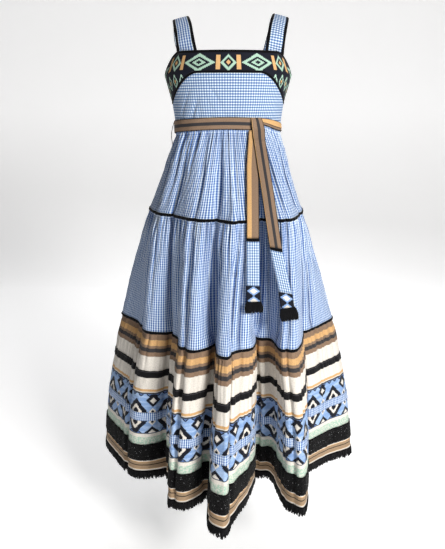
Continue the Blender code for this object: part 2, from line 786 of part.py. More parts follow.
def skirt_front(x, z, half_width):
    """The foremost y of the skirt's outside across a strip's width at this height."""
    if z > Z_TIER1:
        tier, top, bottom = TIER1, Z_BELT - SEAM_UNDER_BELT, Z_TIER1
    else:
        tier, top, bottom = TIER2, Z_TIER1, Z_TIER2
    down = min(max((z - top) / (bottom - top), 0.0), 1.0)
    ring = tier.top * (1.0 - down) + tier.bottom * down
    swell = tier.belly * math.sin(math.pi * down) + tier.gather * gather_reach(down, tier.fade)
    ring = ring * (1.0 + swell / np.hypot(ring[:, 0], ring[:, 1]))[:, None]
    near = (np.abs(ring[:, 0] - x) < half_width) & (ring[:, 1] < 0)
    return float(ring[near, 1].min())


def belt_end_middle(side, z):
    line = BELT_END_LINES[side]
    return float(np.interp(z, [row[0] for row in reversed(line)], [row[1] for row in reversed(line)]))


def belt_end_depth(side, z, width):
    """The y of a strip that lies on the folds; the right end lies on the left one near the knot."""
    x = belt_end_middle(side, z)
    aside, along = BELT_END_LOOK
    y = min(skirt_front(x, z + step, width / 2 + aside) for step in (-along, 0.0, along))
    if z > BELT_END_LEAVES:
        y = min(y, torso_point(BELT_END_TURN, z, BELT_CLEAR + BELT_THICK).y)
    if side == "right" and x - belt_end_middle("left", z) < width + BELT_END_SPREAD:
        y = min(y, belt_end_depth("left", z, width) - BELT_END_LAYER)
    return y


def belt_end_row(side, z, width, out):
    """Left and right point of a strip's cross line at this height."""
    x = belt_end_middle(side, z)
    lean = (belt_end_middle(side, z - 0.01) - x) / 0.01
    across = Vector((1.0, 0.0, lean)).normalized() * (width / 2)
    ends = [Vector((x, 0.0, z)) - across, Vector((x, 0.0, z)) + across]
    for end in ends:
        end.y = belt_end_depth(side, end.z, width) - LAY_GAP - BELT_END_THICK["trim"] - out
    return ends


def belt_end_rows(side, z_top, z_bottom, width, out):
    count = max(1, round((z_top - z_bottom) / BELT_ROW_HEIGHT))
    return [belt_end_row(side, z_top + (z_bottom - z_top) * k / count, width, out)
            for k in range(count + 1)]


def make_belt_end(side, column):
    tops = [row[column] for row in BELT_END_PIECES] + [BELT_FRINGE_TOP[side]]
    for k, (tag, width, finish, *_) in enumerate(BELT_END_PIECES):
        thickness = BELT_END_THICK[tag]
        proud = (thickness - BELT_END_THICK["strip"]) / 2
        skins = [belt_end_rows(side, tops[k], tops[k + 1] + SEAM_GAP, width, out)
                 for out in (proud, proud - thickness)]
        make_wall(f"belt_{side}_{tag}", *skins, finish)
    make_belt_fringe(side)


def make_belt_fringe(side):
    """The end's brush: a heading strip with a pointed lock under each of its lower faces."""
    head_top = belt_end_row(side, BELT_FRINGE_TOP[side], BELT_FRINGE_WIDTH, 0.0)
    head_low = belt_end_row(side, BELT_FRINGE_TOP[side] - BELT_FRINGE_HEAD, BELT_FRINGE_WIDTH, 0.0)
    thick = Vector((0.0, BELT_FRINGE_THICK / 2, 0.0))
    rings = []
    for left, right, shift in ((*head_top, thick), (*head_top, -thick), (*head_low, -thick),
                               (*head_low, thick)):
        rings.append([left.lerp(right, i / BELT_FRINGE_STRANDS) + shift
                      for i in range(BELT_FRINGE_STRANDS + 1)])
    work = bmesh.new()
    loops = [[work.verts.new(point) for point in ring] for ring in rings]
    roots = []
    for i in range(BELT_FRINGE_STRANDS):
        for k in range(4):
            a, b = loops[k], loops[(k + 1) % 4]
            face = work.faces.new((a[i], b[i], b[i + 1], a[i + 1]))
            if k == 2:
                roots.append(face)
    for i in (0, BELT_FRINGE_STRANDS):
        work.faces.new([loop[i] for loop in loops])
    for number, face in enumerate(roots):
        middle = face.calc_center_median()
        tip = bmesh.ops.poke(work, faces=[face])["verts"][0]
        spread = (number + 0.5) / BELT_FRINGE_STRANDS - 0.5
        drop = BELT_FRINGE_END[side] - middle.z + FRINGE_UNEVEN * uneven(number, 21)
        tip.co = middle + Vector((BELT_FRINGE_SPREAD * spread, 0.0, drop))
    bmesh.ops.recalc_face_normals(work, faces=work.faces[:])
    mesh = bpy.data.meshes.new(f"belt_{side}_fringe")
    work.to_mesh(mesh)
    work.free()
    return link_object(f"belt_{side}_fringe", mesh, "yarn")


# Thread carrier at the left side, a row for each bend: height from the belt's middle, distance out
# from the torso. Its lower end is sewn to tier 1.
LOOP_RADIUS = 0.0010
LOOP_BENDS = ((0.0230, 0.0013), (0.0165, 0.0056), (0.0060, 0.0088), (-0.0060, 0.0110),
              (-0.0160, 0.0120), (-0.0240, 0.0116))
LOOP_LOW_SHARE = 0.12


def make_belt_loop():
    """A thread loop that holds the belt at the left side seam."""
    degrees = FOLD_BENDS[SIDE_LEFT_BEND][0]
    points = [torso_point(degrees, z_belt(degrees) + rise, out) for rise, out in LOOP_BENDS]
    points.append(TIER1.point(0.0, LOOP_LOW_SHARE, 0.0, LOOP_RADIUS + SEAM_GAP))
    curve = bpy.data.curves.new("belt_loop", "CURVE")
    curve.dimensions = "3D"
    curve.bevel_depth = LOOP_RADIUS
    curve.bevel_resolution = 1
    curve.use_fill_caps = True
    spline = curve.splines.new("POLY")
    spline.points.add(len(points) - 1)
    for slot, point in zip(spline.points, points):
        slot.co = (*point, 1.0)
    loop = bpy.data.objects.new("belt_loop", curve)
    curve.materials.append(FINISHES["thread"])
    PARTS.objects.link(loop)
    return loop


def main():
    make_straps()
    make_bodice()
    make_belt_wrap()
    make_belt_knot()
    make_belt_end("left", 3)
    make_belt_end("right", 4)
    make_belt_loop()
    walls = make_tiers()
    make_seam_trim("tier1_trim", TIER1, TIER2, TRIM_COLUMNS)
    make_seam_trim("tier2_trim", TIER2, BORDER, TRIM_COLUMNS)
    make_border_tapes(walls)
    make_hem_fringe()


main()
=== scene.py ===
# %% [markdown]
# # A tiered gingham sundress
# The dress stands in the form that it has when it is worn, with nobody in it. Each cut and sewn piece
# is made here as thin cloth on the hollow shape of its solid. The solids come first, because they say
# where every seam lies, and nothing here changes their size.

# %% Load the solids
import math

import bpy
import numpy as np
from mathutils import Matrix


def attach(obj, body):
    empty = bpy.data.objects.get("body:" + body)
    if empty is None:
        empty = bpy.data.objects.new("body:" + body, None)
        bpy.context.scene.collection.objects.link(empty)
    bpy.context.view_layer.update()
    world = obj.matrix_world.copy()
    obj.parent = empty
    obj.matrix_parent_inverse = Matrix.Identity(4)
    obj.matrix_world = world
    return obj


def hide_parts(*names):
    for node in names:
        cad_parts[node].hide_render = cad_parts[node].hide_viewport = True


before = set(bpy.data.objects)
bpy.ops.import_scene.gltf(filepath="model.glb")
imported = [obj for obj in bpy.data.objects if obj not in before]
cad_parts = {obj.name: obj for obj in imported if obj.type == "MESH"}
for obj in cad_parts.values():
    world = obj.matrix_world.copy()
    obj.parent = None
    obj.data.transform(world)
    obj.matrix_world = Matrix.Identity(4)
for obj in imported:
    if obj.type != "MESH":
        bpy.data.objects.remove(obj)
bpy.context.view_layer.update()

# %% [markdown]
# ## The camera
# The picture was taken from a little above, so the round seams show as shallow bowls and the hem as a
# deep one. A lens is easiest to set by its focal length in picture points: 650 for a picture that is
# 549 points high. The camera is tipped down and the dress stands plumb, as its solids do.

# %% Camera
PICTURE_HEIGHT = 549
FOCAL_POINTS = 650
DOWNWARD_DEGREES = 14.6
CAMERA_PLACE = (-0.0143, -1.75, -0.2152)


def add_object(name, data):
    thing = bpy.data.objects.new(name, data)
    bpy.context.scene.collection.objects.link(thing)
    return thing


camera_data = bpy.data.cameras.new("camera")
camera_data.sensor_width = 36.0
camera_data.lens = camera_data.sensor_width * FOCAL_POINTS / PICTURE_HEIGHT
camera_data.clip_end = 50.0
camera = add_object("camera", camera_data)
camera.location = CAMERA_PLACE
camera.rotation_euler = (math.radians(90.0 - DOWNWARD_DEGREES), 0.0, 0.0)
bpy.context.scene.camera = camera
print("lens", round(camera_data.lens, 2), "mm")

# %% [markdown]
# ## Light
# The light comes from the front right, so the left flank falls into a blue-grey shade and the deep folds
# go dark. A key lamp gives it, a very weak lamp opens the left, and one behind lights the back. The
# surroundings look pale to the camera but are dim for the light, because a bright room would fill the
# folds.

# %% Lights
DRESS_MIDDLE = (0.0, 0.0, -0.6)


def add_lamp(name, place, size, power, tint):
    """A square lamp that looks at the middle of the dress."""
    lamp_data = bpy.data.lights.new(name, "AREA")
    lamp_data.size = size
    lamp_data.energy = power
    lamp_data.color = tint
    lamp = add_object(name, lamp_data)
    lamp.location = place
    run = np.array(DRESS_MIDDLE) - np.array(place)
    turn = math.atan2(-run[0], run[1])
    tip = math.atan2(run[2], math.hypot(run[0], run[1]))
    lamp.rotation_euler = (math.pi / 2 + tip, 0.0, turn)


add_lamp("key_lamp", (1.48, -2.66, 0.6), 0.8, 124.0, (1.0, 0.985, 0.955))
add_lamp("left_lamp", (-2.4, -1.6, 0.3), 2.0, 0.5, (1.0, 0.96, 0.90))
add_lamp("back_lamp", (0.3, 2.4, 0.8), 2.0, 40.0, (1.0, 1.0, 1.0))

world = bpy.data.worlds.new("pale_room")
world.use_nodes = True
room = world.node_tree
dim, pale = room.nodes["Background"], room.nodes.new("ShaderNodeBackground")
for node, colour, strength in ((dim, (1.0, 0.955, 0.905, 1.0), 0.06), (pale, (0.93, 0.93, 0.94, 1.0), 0.90)):
    node.inputs["Color"].default_value = colour
    node.inputs["Strength"].default_value = strength
ray = room.nodes.new("ShaderNodeLightPath")
chosen = room.nodes.new("ShaderNodeMixShader")
room.links.new(ray.outputs["Is Camera Ray"], chosen.inputs["Fac"])
room.links.new(dim.outputs["Background"], chosen.inputs[1])
room.links.new(pale.outputs["Background"], chosen.inputs[2])
room.links.new(chosen.outputs["Shader"], room.nodes["World Output"].inputs["Surface"])
bpy.context.scene.world = world
bpy.context.scene.view_settings.view_transform = "Standard"

# %% [markdown]
# ## Building finishes from nodes
# Every finish is drawn by arithmetic on two lengths in metres that each piece carries: how far across
# the cloth and how far down it. Stripes, checks and woven figures then keep their real size on every
# piece. A few small helpers write the arithmetic, so that a finish reads like its own recipe.

# %% Node helpers
class Finish:
    """A material whose nodes are written one step at a time."""

    def __init__(self, name, roughness, sheen=0.0):
        self.material = bpy.data.materials.new(name)
        self.material.use_nodes = True
        self.tree = self.material.node_tree
        self.shader = self.tree.nodes["Principled BSDF"]
        for socket, value in (("Roughness", roughness), ("Sheen Weight", sheen),
                              ("Sheen Roughness", 0.45), ("Specular IOR Level", 0.2)):
            self.shader.inputs[socket].default_value = value
        self.place, self.across, self.down = self.layer("cut")
        # The second layer gives each point's painted shade: darker colour in gathers, hollows and beside fold
        # edges.
        self.crease = self.layer("crease")[1]

    def layer(self, name):
        """A layer that the pieces carry: as a whole, and its two numbers."""
        place = self.tree.nodes.new("ShaderNodeUVMap")
        place.uv_map = name
        parts = self.tree.nodes.new("ShaderNodeSeparateXYZ")
        self.tree.links.new(place.outputs["UV"], parts.inputs[0])
        return place.outputs["UV"], parts.outputs[0], parts.outputs[1]

    def feed(self, socket, value):
        if isinstance(value, (int, float)):
            socket.default_value = value
        elif isinstance(value, tuple):
            socket.default_value = (*value, 1.0)
        else:
            self.tree.links.new(value, socket)

    def sum(self, operation, *values):
        node = self.tree.nodes.new("ShaderNodeMath")
        node.operation = operation
        for socket, value in zip(node.inputs, values):
            self.feed(socket, value)
        return node.outputs[0]

    def times(self, first, second):
        return self.sum("MULTIPLY", first, second)

    def minus(self, first, second):
        return self.sum("SUBTRACT", first, second)

    def within(self, value, low, high):
        """1 between two limits, 0 outside them."""
        return self.times(self.sum("GREATER_THAN", value, low), self.sum("LESS_THAN", value, high))

    def near(self, value, middle, reach):
        """1 up to this far from the middle, 0 beyond."""
        return self.sum("LESS_THAN", self.sum("ABSOLUTE", self.minus(value, middle)), reach)

    def ease(self, value, low, high, start=0.0, end=1.0):
        node = self.tree.nodes.new("ShaderNodeMapRange")
        node.interpolation_type = "SMOOTHSTEP"
        for name, given in (("Value", value), ("From Min", low), ("From Max", high),
                            ("To Min", start), ("To Max", end)):
            self.feed(node.inputs[name], given)
        return node.outputs["Result"]

    def blend(self, share, first, second):
        node = self.tree.nodes.new("ShaderNodeMix")
        node.data_type = "RGBA"
        self.feed(node.inputs[0], share)
        self.feed(node.inputs[6], first)
        self.feed(node.inputs[7], second)
        return node.outputs[2]

    def noise(self, scale, detail=2.0, stretch=(1.0, 1.0, 1.0)):
        scaled = self.tree.nodes.new("ShaderNodeMapping")
        scaled.inputs["Scale"].default_value = stretch
        self.tree.links.new(self.place, scaled.inputs["Vector"])
        node = self.tree.nodes.new("ShaderNodeTexNoise")
        node.inputs["Scale"].default_value = scale
        node.inputs["Detail"].default_value = detail
        self.tree.links.new(scaled.outputs[0], node.inputs["Vector"])
        return node.outputs["Fac"]

    def repeat(self, value, period):
        """How far from the middle of its repeat a point lies, from 0 to 1 at the repeat's ends."""
        turn = self.sum("FRACT", self.sum("DIVIDE", value, period))
        return self.sum("ABSOLUTE", self.sum("MULTIPLY_ADD", turn, 2.0, -1.0))

    def steps(self, value, step):
        return self.sum("SNAP", value, step)

    def mirrored(self, value, period, step):
        """Metres from the middle of its repeat, in steps as a loom makes them."""
        return self.steps(self.times(self.repeat(value, period), period / 2), step)

    def stripe(self, value, period, share, soft=0.08):
        """1 on a stripe that takes this share of each repeat, 0 beside it."""
        return self.ease(self.repeat(value, period), share - soft, share + soft, 1.0, 0.0)

    def bump(self, height, strength, distance):
        node = self.tree.nodes.new("ShaderNodeBump")
        node.inputs["Strength"].default_value = strength
        node.inputs["Distance"].default_value = distance
        self.feed(node.inputs["Height"], height)
        self.tree.links.new(node.outputs["Normal"], self.shader.inputs["Normal"])

    def paint(self, colour):
        self.feed(self.shader.inputs["Base Color"], colour)
        return self.material


def tone(red, green, blue):
    """A colour given as it shows on a screen, from 0 to 255, as light."""
    parts = [value / 255.0 for value in (red, green, blue)]
    return tuple(v / 12.92 if v < 0.04045 else ((v + 0.055) / 1.055) ** 2.4 for v in parts)


print("finishes are drawn in metres of cloth")

# %% [markdown]
# ## Gingham
# Gingham is woven, not printed: blue and white threads alternate in both directions. So the finish adds
# a stripe across and a stripe down, and reads the colour from how many of them meet. The bodice is cut
# with its stronger stripe crosswise and the skirt with it upright.

# %% Gingham finish
CHECK = 0.0064
THREAD = 0.0005
BLUE_SHARE = 0.56
GINGHAM_WHITE = tone(234, 242, 244)


def darker(colour, share):
    return tuple(value * share for value in colour)


def gingham_finish(name, upright, crosswise, pale_tone, deep_tone, squeeze=1.0):
    """upright and crosswise say how strong each stripe is, and squeeze narrows the checks across, as
    many small gathers do."""
    cloth = Finish(name, 0.88, 0.10)
    warp = cloth.stripe(cloth.across, CHECK * squeeze, BLUE_SHARE, 0.10)
    weft = cloth.stripe(cloth.down, CHECK, BLUE_SHARE, 0.10)
    meet = cloth.sum("ADD", cloth.times(warp, upright), cloth.times(weft, crosswise))
    pale = cloth.blend(cloth.sum("MINIMUM", cloth.times(meet, 2.0), 1.0), GINGHAM_WHITE, pale_tone)
    deep = cloth.sum("MAXIMUM", cloth.sum("MULTIPLY_ADD", meet, 2.0, -1.0), 0.0)
    washed = cloth.ease(cloth.noise(26.0, 3.0), 0.3, 0.7, 0.0, 0.16)
    faded = cloth.blend(washed, cloth.blend(deep, pale, deep_tone), darker(pale_tone, 0.80))
    ends, picks = cloth.repeat(cloth.across, THREAD), cloth.repeat(cloth.down, THREAD)
    slub = cloth.noise(900.0, 2.0, (1.0, 0.25, 1.0))
    cloth.bump(cloth.sum("ADD", cloth.times(ends, picks), cloth.times(slub, 0.6)), 0.35, 0.00016)
    # Painted shade: gathers, hollows and fold edges are painted towards a dark blue.
    return cloth.paint(cloth.blend(cloth.times(cloth.crease, 0.72), faded, darker(deep_tone, 0.36)))


SKIRT_GINGHAM = gingham_finish("skirt_gingham", 0.72, 0.28, tone(148, 179, 222), tone(56, 88, 157), 0.89)
BODICE_GINGHAM = gingham_finish("bodice_gingham", 0.40, 0.60, tone(133, 161, 199), tone(66, 95, 147))
RIBBON_GINGHAM = gingham_finish("ribbon_gingham", 0.62, 0.38, tone(146, 174, 211), tone(76, 106, 158), 0.86)
print("gingham checks of", CHECK * 1000, "mm")

# %% [markdown]
# ## Velvet and ribbed ribbon
# Velvet drinks light face on and glows faintly at its edges, which sheen does. The ribbed ribbon of the
# skirt is woven with raised upright cords and one thin grey line near its upper edge.

# %% Black trims
def velvet_finish():
    pile = Finish("black_velvet", 0.8, 0.06)
    nap = pile.noise(1400.0, 2.0)
    streak = pile.noise(160.0, 2.0, (1.0, 0.3, 1.0))
    pile.bump(pile.sum("ADD", nap, streak), 0.5, 0.0003)
    pile.shader.inputs["Specular IOR Level"].default_value = 0.08
    return pile.paint(pile.blend(streak, tone(4, 4, 6), tone(14, 14, 18)))


def ribbed_finish(width):
    ribbon = Finish("black_ribbed_ribbon", 0.75, 0.04)
    cords = ribbon.repeat(ribbon.across, 0.0016)
    share = ribbon.sum("DIVIDE", ribbon.down, width)
    line = ribbon.stripe(ribbon.sum("ADD", share, 0.32), 1.0, 0.07, 0.04)
    ribbon.bump(ribbon.minus(1.0, cords), 0.7, 0.0004)
    # Painted shade: the black is painted lighter on the tops of the cords and darker in the grooves between
    # them.
    dark = ribbon.blend(cords, tone(17, 17, 20), tone(5, 5, 7))
    return ribbon.paint(ribbon.blend(ribbon.times(line, 0.8), dark, tone(78, 76, 80)))


VELVET = velvet_finish()
print("black trims: velvet and ribbed ribbon")

# %% [markdown]
# ## Woven colours and texture
# Belt, band, tabs and border are woven with thicker yarn, so their cloth has small ribs. No dye is quite
# even, so darker flecks keep the colours from lying flat.

# %% Woven colours and texture
TAUPE = tone(142, 117, 96)
TAN = tone(216, 172, 118)
CHARCOAL = tone(58, 56, 58)
CREAM = tone(234, 228, 219)
MINT = tone(170, 203, 184)
SAND = tone(163, 138, 110)
NAVY = tone(18, 21, 34)
SOFT_BLUE = tone(134, 166, 214)
PALE_BLUE = tone(170, 196, 232)
DEEP_BLUE = tone(84, 110, 160)
LINE_BLACK = tone(20, 19, 22)


def striped(cloth, share, stripes, soft=0.012):
    """Colours down a share, given as (where it starts, colour)."""
    colour = stripes[0][1]
    for edge, next_colour in stripes[1:]:
        colour = cloth.blend(cloth.ease(share, edge - soft, edge + soft), colour, next_colour)
    return colour


def woven(cloth, colour, flecks, thread=0.0008, strength=0.4, fleck_scale=420.0):
    """Paint a cloth with this colour, its flecks and the ribs of its thread."""
    ribs, picks = cloth.repeat(cloth.across, thread), cloth.repeat(cloth.down, thread * 0.8)
    cloth.bump(cloth.sum("ADD", ribs, cloth.times(picks, 0.6)), strength, 0.0002)
    patch = cloth.ease(cloth.noise(fleck_scale), 0.35, 0.7, 0.0, flecks)
    return cloth.paint(cloth.blend(patch, colour, LINE_BLACK))


print("woven colours: taupe, tan, charcoal, cream, mint, sand, navy and three blues")

# %% [markdown]
# ## Belting
# The belt is a striped woven strip: taupe with a charcoal middle, thin dark edges and a row of stitches
# along each of them. Right of the knot it lies turned over and shows other stripes, up to a slanting end.

# %% Belting
STITCH_FROM_EDGE = 0.0026
STITCH_REPEAT = 0.0030
BELT_STRIPES = ((0.0, LINE_BLACK), (0.05, TAUPE), (0.37, CHARCOAL), (0.64, TAUPE), (0.95, LINE_BLACK))


def belting_finish(name, stripes, width, turned=None):
    """Stripes along a strip. turned gives a stretch of it that shows other stripes: start, end, stripes."""
    belt = Finish(name, 0.78, 0.05)
    share = belt.sum("DIVIDE", belt.down, width)
    colour = striped(belt, share, stripes)
    if turned:
        start, end, other = turned
        slant = belt.sum("MULTIPLY_ADD", share, -0.045, end)
        colour = belt.blend(belt.within(belt.across, start, slant), colour, striped(belt, share, other))
    from_edge = belt.times(belt.sum("MINIMUM", share, belt.minus(1.0, share)), width)
    row = belt.near(from_edge, STITCH_FROM_EDGE, 0.00035)
    stitch = belt.times(row, belt.stripe(belt.across, STITCH_REPEAT, 0.62, 0.05))
    return woven(belt, belt.blend(belt.times(stitch, 0.45), colour, CHARCOAL), 0.22)


print("belting of", len(BELT_STRIPES), "stripes")

# %% [markdown]
# ## Band print, tabs and lining
# The bodice band carries large stepped lozenges in mint, tan bars and saw teeth on navy, and the tabs
# small lozenges in blue and cream. They are plain geometry of this dress's own, laid on a stepped grid,
# as a loom would have to weave them. The band's lining is plain and dark.

# %% Band print, tabs and lining
BAND_REPEAT = 0.144
TOOTH_REPEAT = 0.026
TAB_REPEAT = 0.024


def lozenges(cloth, colour, figures, where=None):
    """Lay lozenges over a colour, each with its x, y, half width, half height and dye."""
    for x, y, half_wide, half_high, dye in figures:
        reach = cloth.sum("ADD", cloth.sum("DIVIDE", cloth.sum("ABSOLUTE", x), half_wide),
                          cloth.sum("DIVIDE", cloth.sum("ABSOLUTE", y), half_high))
        shape = cloth.sum("LESS_THAN", reach, 1.0)
        if where is not None:
            shape = cloth.times(shape, where)
        colour = cloth.blend(shape, colour, dye)
    return colour


def band_print_finish():
    """The band's figures, mirrored about its middle."""
    band = Finish("band_print", 0.8, 0.05)
    step, level = 0.0021, 0.0225
    x = band.mirrored(band.across, BAND_REPEAT, step)
    y = band.steps(band.down, step)
    far = band.minus(x, BAND_REPEAT / 2)
    up = band.minus(y, level)
    low = band.minus(y, 0.066)
    tooth = band.mirrored(band.across, TOOTH_REPEAT, 0.0016)
    colour = lozenges(band, NAVY, (
        (x, up, 0.0395, 0.0208, MINT), (x, up, 0.0270, 0.0140, NAVY),
        (x, up, 0.0165, 0.0084, MINT), (x, up, 0.0072, 0.0038, NAVY),
        (far, up, 0.0205, 0.0208, MINT), (far, up, 0.0130, 0.0130, NAVY), (far, up, 0.0066, 0.0066, TAN),
        (tooth, low, 0.0096, 0.0165, MINT), (tooth, low, 0.0060, 0.0105, NAVY),
        (tooth, low, 0.0022, 0.0040, TAN),
    ))
    bar = band.times(band.near(x, 0.0462, 0.0046), band.near(y, level, 0.0165))
    return woven(band, band.blend(bar, colour, TAN), 0.14)


def tab_finish():
    tab = Finish("tab_print", 0.8, 0.1)
    x = tab.steps(tab.minus(tab.across, 0.01725), 0.0014)
    y = tab.mirrored(tab.down, TAB_REPEAT, 0.0014)
    figures = ((x, y, 0.0150, 0.0110, SOFT_BLUE), (x, y, 0.0085, 0.0065, CREAM))
    return woven(tab, lozenges(tab, NAVY, figures), 0.2)


def lining_finish():
    lining = Finish("dark_lining", 0.85, 0.03)
    colour = lining.blend(lining.noise(220.0, 3.0), NAVY, tone(34, 38, 52))
    return woven(lining, colour, 0.0, 0.0006, 0.3)


BAND_PRINT, TAB_PRINT, LINING = band_print_finish(), tab_finish(), lining_finish()
print("band figures repeat every", BAND_REPEAT * 1000, "mm")

# %% [markdown]
# ## Woven border
# The border is woven in stripes with a band of soft blue, on which stepped lozenges stand mirrored above
# and below the sewn-on gingham ribbon. Its stripes could be cut pieces, but a loom changes the weft
# instead, so they are read by the share of the way down.

# %% Woven border
BLUE_TOP, BLUE_FOOT = 0.402, 0.672
BORDER_REPEAT, EDGE_REPEAT = 0.096, 0.024
RIBBON_MIDDLE = 0.558
BORDER_STRIPES = (
    (0.0, TAUPE), (0.046, TAN), (0.082, TAUPE), (0.099, CHARCOAL), (0.124, TAUPE), (0.152, CREAM),
    (0.370, TAN), (0.386, CREAM), (0.392, CHARCOAL), (BLUE_TOP, SOFT_BLUE), (BLUE_FOOT, NAVY),
    (0.677, CREAM), (0.700, MINT), (0.866, CREAM), (0.877, TAN), (0.882, SAND), (0.899, LINE_BLACK),
    (0.905, SAND), (0.930, TAN), (0.933, CREAM), (0.942, TAUPE),
)


def border_finish(length):
    """Woven stripes with a blue pattern band, read by the share of the way down the border."""
    cloth = Finish("woven_border", 0.82, 0.1)
    share = cloth.sum("DIVIDE", cloth.down, length)
    in_band = cloth.within(share, BLUE_TOP + 0.001, BLUE_FOOT - 0.001)
    light = cloth.ease(cloth.noise(60.0, 3.0, (0.25, 1.6, 1.0)), 0.40, 0.62)
    colour = cloth.blend(cloth.times(light, in_band), striped(cloth, share, BORDER_STRIPES, 0.002), PALE_BLUE)
    step, small_step = 0.0026, 0.0013
    x = cloth.mirrored(cloth.across, BORDER_REPEAT, step)
    from_ribbon = cloth.sum("ABSOLUTE", cloth.minus(share, RIBBON_MIDDLE))
    y = cloth.steps(cloth.times(from_ribbon, length), step)
    far = cloth.minus(x, BORDER_REPEAT / 2)
    small = cloth.mirrored(cloth.across, EDGE_REPEAT, small_step)
    from_top = cloth.times(cloth.minus(share, BLUE_TOP), length)
    from_foot = cloth.times(cloth.minus(BLUE_FOOT, share), length)
    edge = cloth.steps(cloth.sum("MINIMUM", from_top, from_foot), small_step)
    level = {height: cloth.minus(y, height) for height in (0.012, 0.014, 0.047, 0.049)}
    colour = lozenges(cloth, colour, (
        (small, edge, 0.0085, 0.0075, NAVY), (small, edge, 0.0050, 0.0042, DEEP_BLUE),
        (x, level[0.012], 0.0340, 0.0400, NAVY), (x, level[0.014], 0.0175, 0.0215, CREAM),
        (x, level[0.014], 0.0085, 0.0110, NAVY),
        (far, level[0.049], 0.0215, 0.0240, NAVY), (far, level[0.047], 0.0095, 0.0115, CREAM),
        (far, level[0.014], 0.0120, 0.0120, CREAM), (far, level[0.014], 0.0060, 0.0065, NAVY),
    ), in_band)
    fray = cloth.times(cloth.ease(cloth.noise(200.0, 3.0), 0.42, 0.58), cloth.within(share, 0.700, 0.765))
    colour = cloth.blend(cloth.times(fray, 0.7), colour, CREAM)
    # Painted shade: gathers, hollows and fold edges are painted towards a dark brown.
    colour = cloth.blend(cloth.times(cloth.crease, 0.36), colour, tone(48, 42, 40))
    return woven(cloth, colour, 0.16, 0.0011, 0.5, 300.0)


print("border of", len(BORDER_STRIPES), "stripes, its figures repeat every", BORDER_REPEAT * 1000, "mm")

# %% [markdown]
# ## Yarn, looped tape and thread
# The fringes are dull black cotton yarn, the looped tape above the hem is a black braid with painted shade
# between its loops and small pale painted glints where its threads catch the light, and the belt carrier is
# a dark grey thread.

# %% Yarns
def yarn_finish():
    yarn = Finish("black_yarn", 0.9, 0.03)
    twist = yarn.noise(700.0, 2.0, (1.0, 0.4, 1.0))
    yarn.bump(twist, 0.5, 0.0003)
    return yarn.paint(yarn.blend(twist, tone(5, 5, 7), tone(20, 20, 24)))


def looped_finish():
    tape = Finish("looped_tape", 0.9, 0.03)
    cells = tape.tree.nodes.new("ShaderNodeTexVoronoi")
    cells.inputs["Scale"].default_value = 380.0
    tape.tree.links.new(tape.place, cells.inputs["Vector"])
    loops = tape.ease(cells.outputs["Distance"], 0.1, 0.6)
    # Painted glints: small pale specks where the loops catch the light.
    painted_glints = tape.ease(tape.noise(330.0, 1.0), 0.722, 0.745)
    tape.bump(tape.minus(1.0, loops), 0.9, 0.0012)
    # Painted shade: the black is painted lighter on the loops and darker between them.
    dark = tape.blend(loops, tone(16, 16, 19), tone(3, 3, 4))
    return tape.paint(tape.blend(painted_glints, dark, tone(206, 208, 212)))


def thread_finish():
    thread = Finish("dark_thread", 0.7, 0.1)
    thread.bump(thread.noise(900.0), 0.4, 0.0003)
    return thread.paint(thread.blend(thread.noise(300.0), tone(40, 40, 46), tone(84, 84, 92)))


YARN, LOOPED, DARK_THREAD = yarn_finish(), looped_finish(), thread_finish()
print("yarn, looped tape and thread are ready")

# %% [markdown]
# ## Sheets of cloth
# A sheet is a net of points: rows down the cloth and columns across it. Each point also carries its
# place on the flat cut in metres and its painted shade, from how deep in a gather or hollow it lies, which
# the finishes paint as darker colour. The columns are measured along the folded surface, so a check stays
# square in a gather as it does on the real cloth.
# A thin wall is then grown inward from the net, because cloth seen at its edge is not a bare line.

# %% Sheet helpers
def uneven(index, seed):
    """A repeatable number from 0 to 1 for each fold or gather."""
    value = np.sin(np.asarray(index) * 12.9898 + seed * 78.233) * 43758.5453
    return value - np.floor(value)


def ease(value, low, high):
    share = np.clip((np.asarray(value, float) - low) / (high - low), 0.0, 1.0)
    return share * share * (3.0 - 2.0 * share)


def arc(points):
    """How far along a line of points each one lies."""
    steps = np.linalg.norm(np.diff(points, axis=0), axis=1)
    return np.concatenate([[0.0], np.cumsum(steps)])


def length_of(points):
    return float(arc(points)[-1])


def arc_round(ring):
    """How far round a closed ring each point lies, and last the whole way round."""
    return arc(np.vstack([ring, ring[:1]]))


def cut_places(grid, width, height):
    """Flat cut places of a net, its columns spaced as the folded rows are on average."""
    shares = np.mean([arc(row) / arc(row)[-1] for row in grid], axis=0)
    middle = grid[:, grid.shape[1] // 2]
    downs = arc(middle) / arc(middle)[-1]
    across, down = np.meshgrid(shares * width, downs * height)
    return np.dstack([across, down])


def places_apart(across, down):
    """Flat cut places of a net whose columns and rows are measured on their own."""
    return np.dstack(np.broadcast_arrays(across, down))


def build(name, points, faces, material, **layers):
    """A piece from points and faces. Each layer gives two numbers a point."""
    mesh = bpy.data.meshes.new(name)
    mesh.from_pydata(points.tolist(), [], faces.tolist())
    for layer, values in layers.items():
        flat = values.reshape(-1, 2)[faces.reshape(-1)].astype(np.float32).reshape(-1)
        mesh.uv_layers.new(name=layer).data.foreach_set("uv", flat)
    mesh.shade_smooth()
    mesh.materials.append(material)
    return add_object(name, mesh)


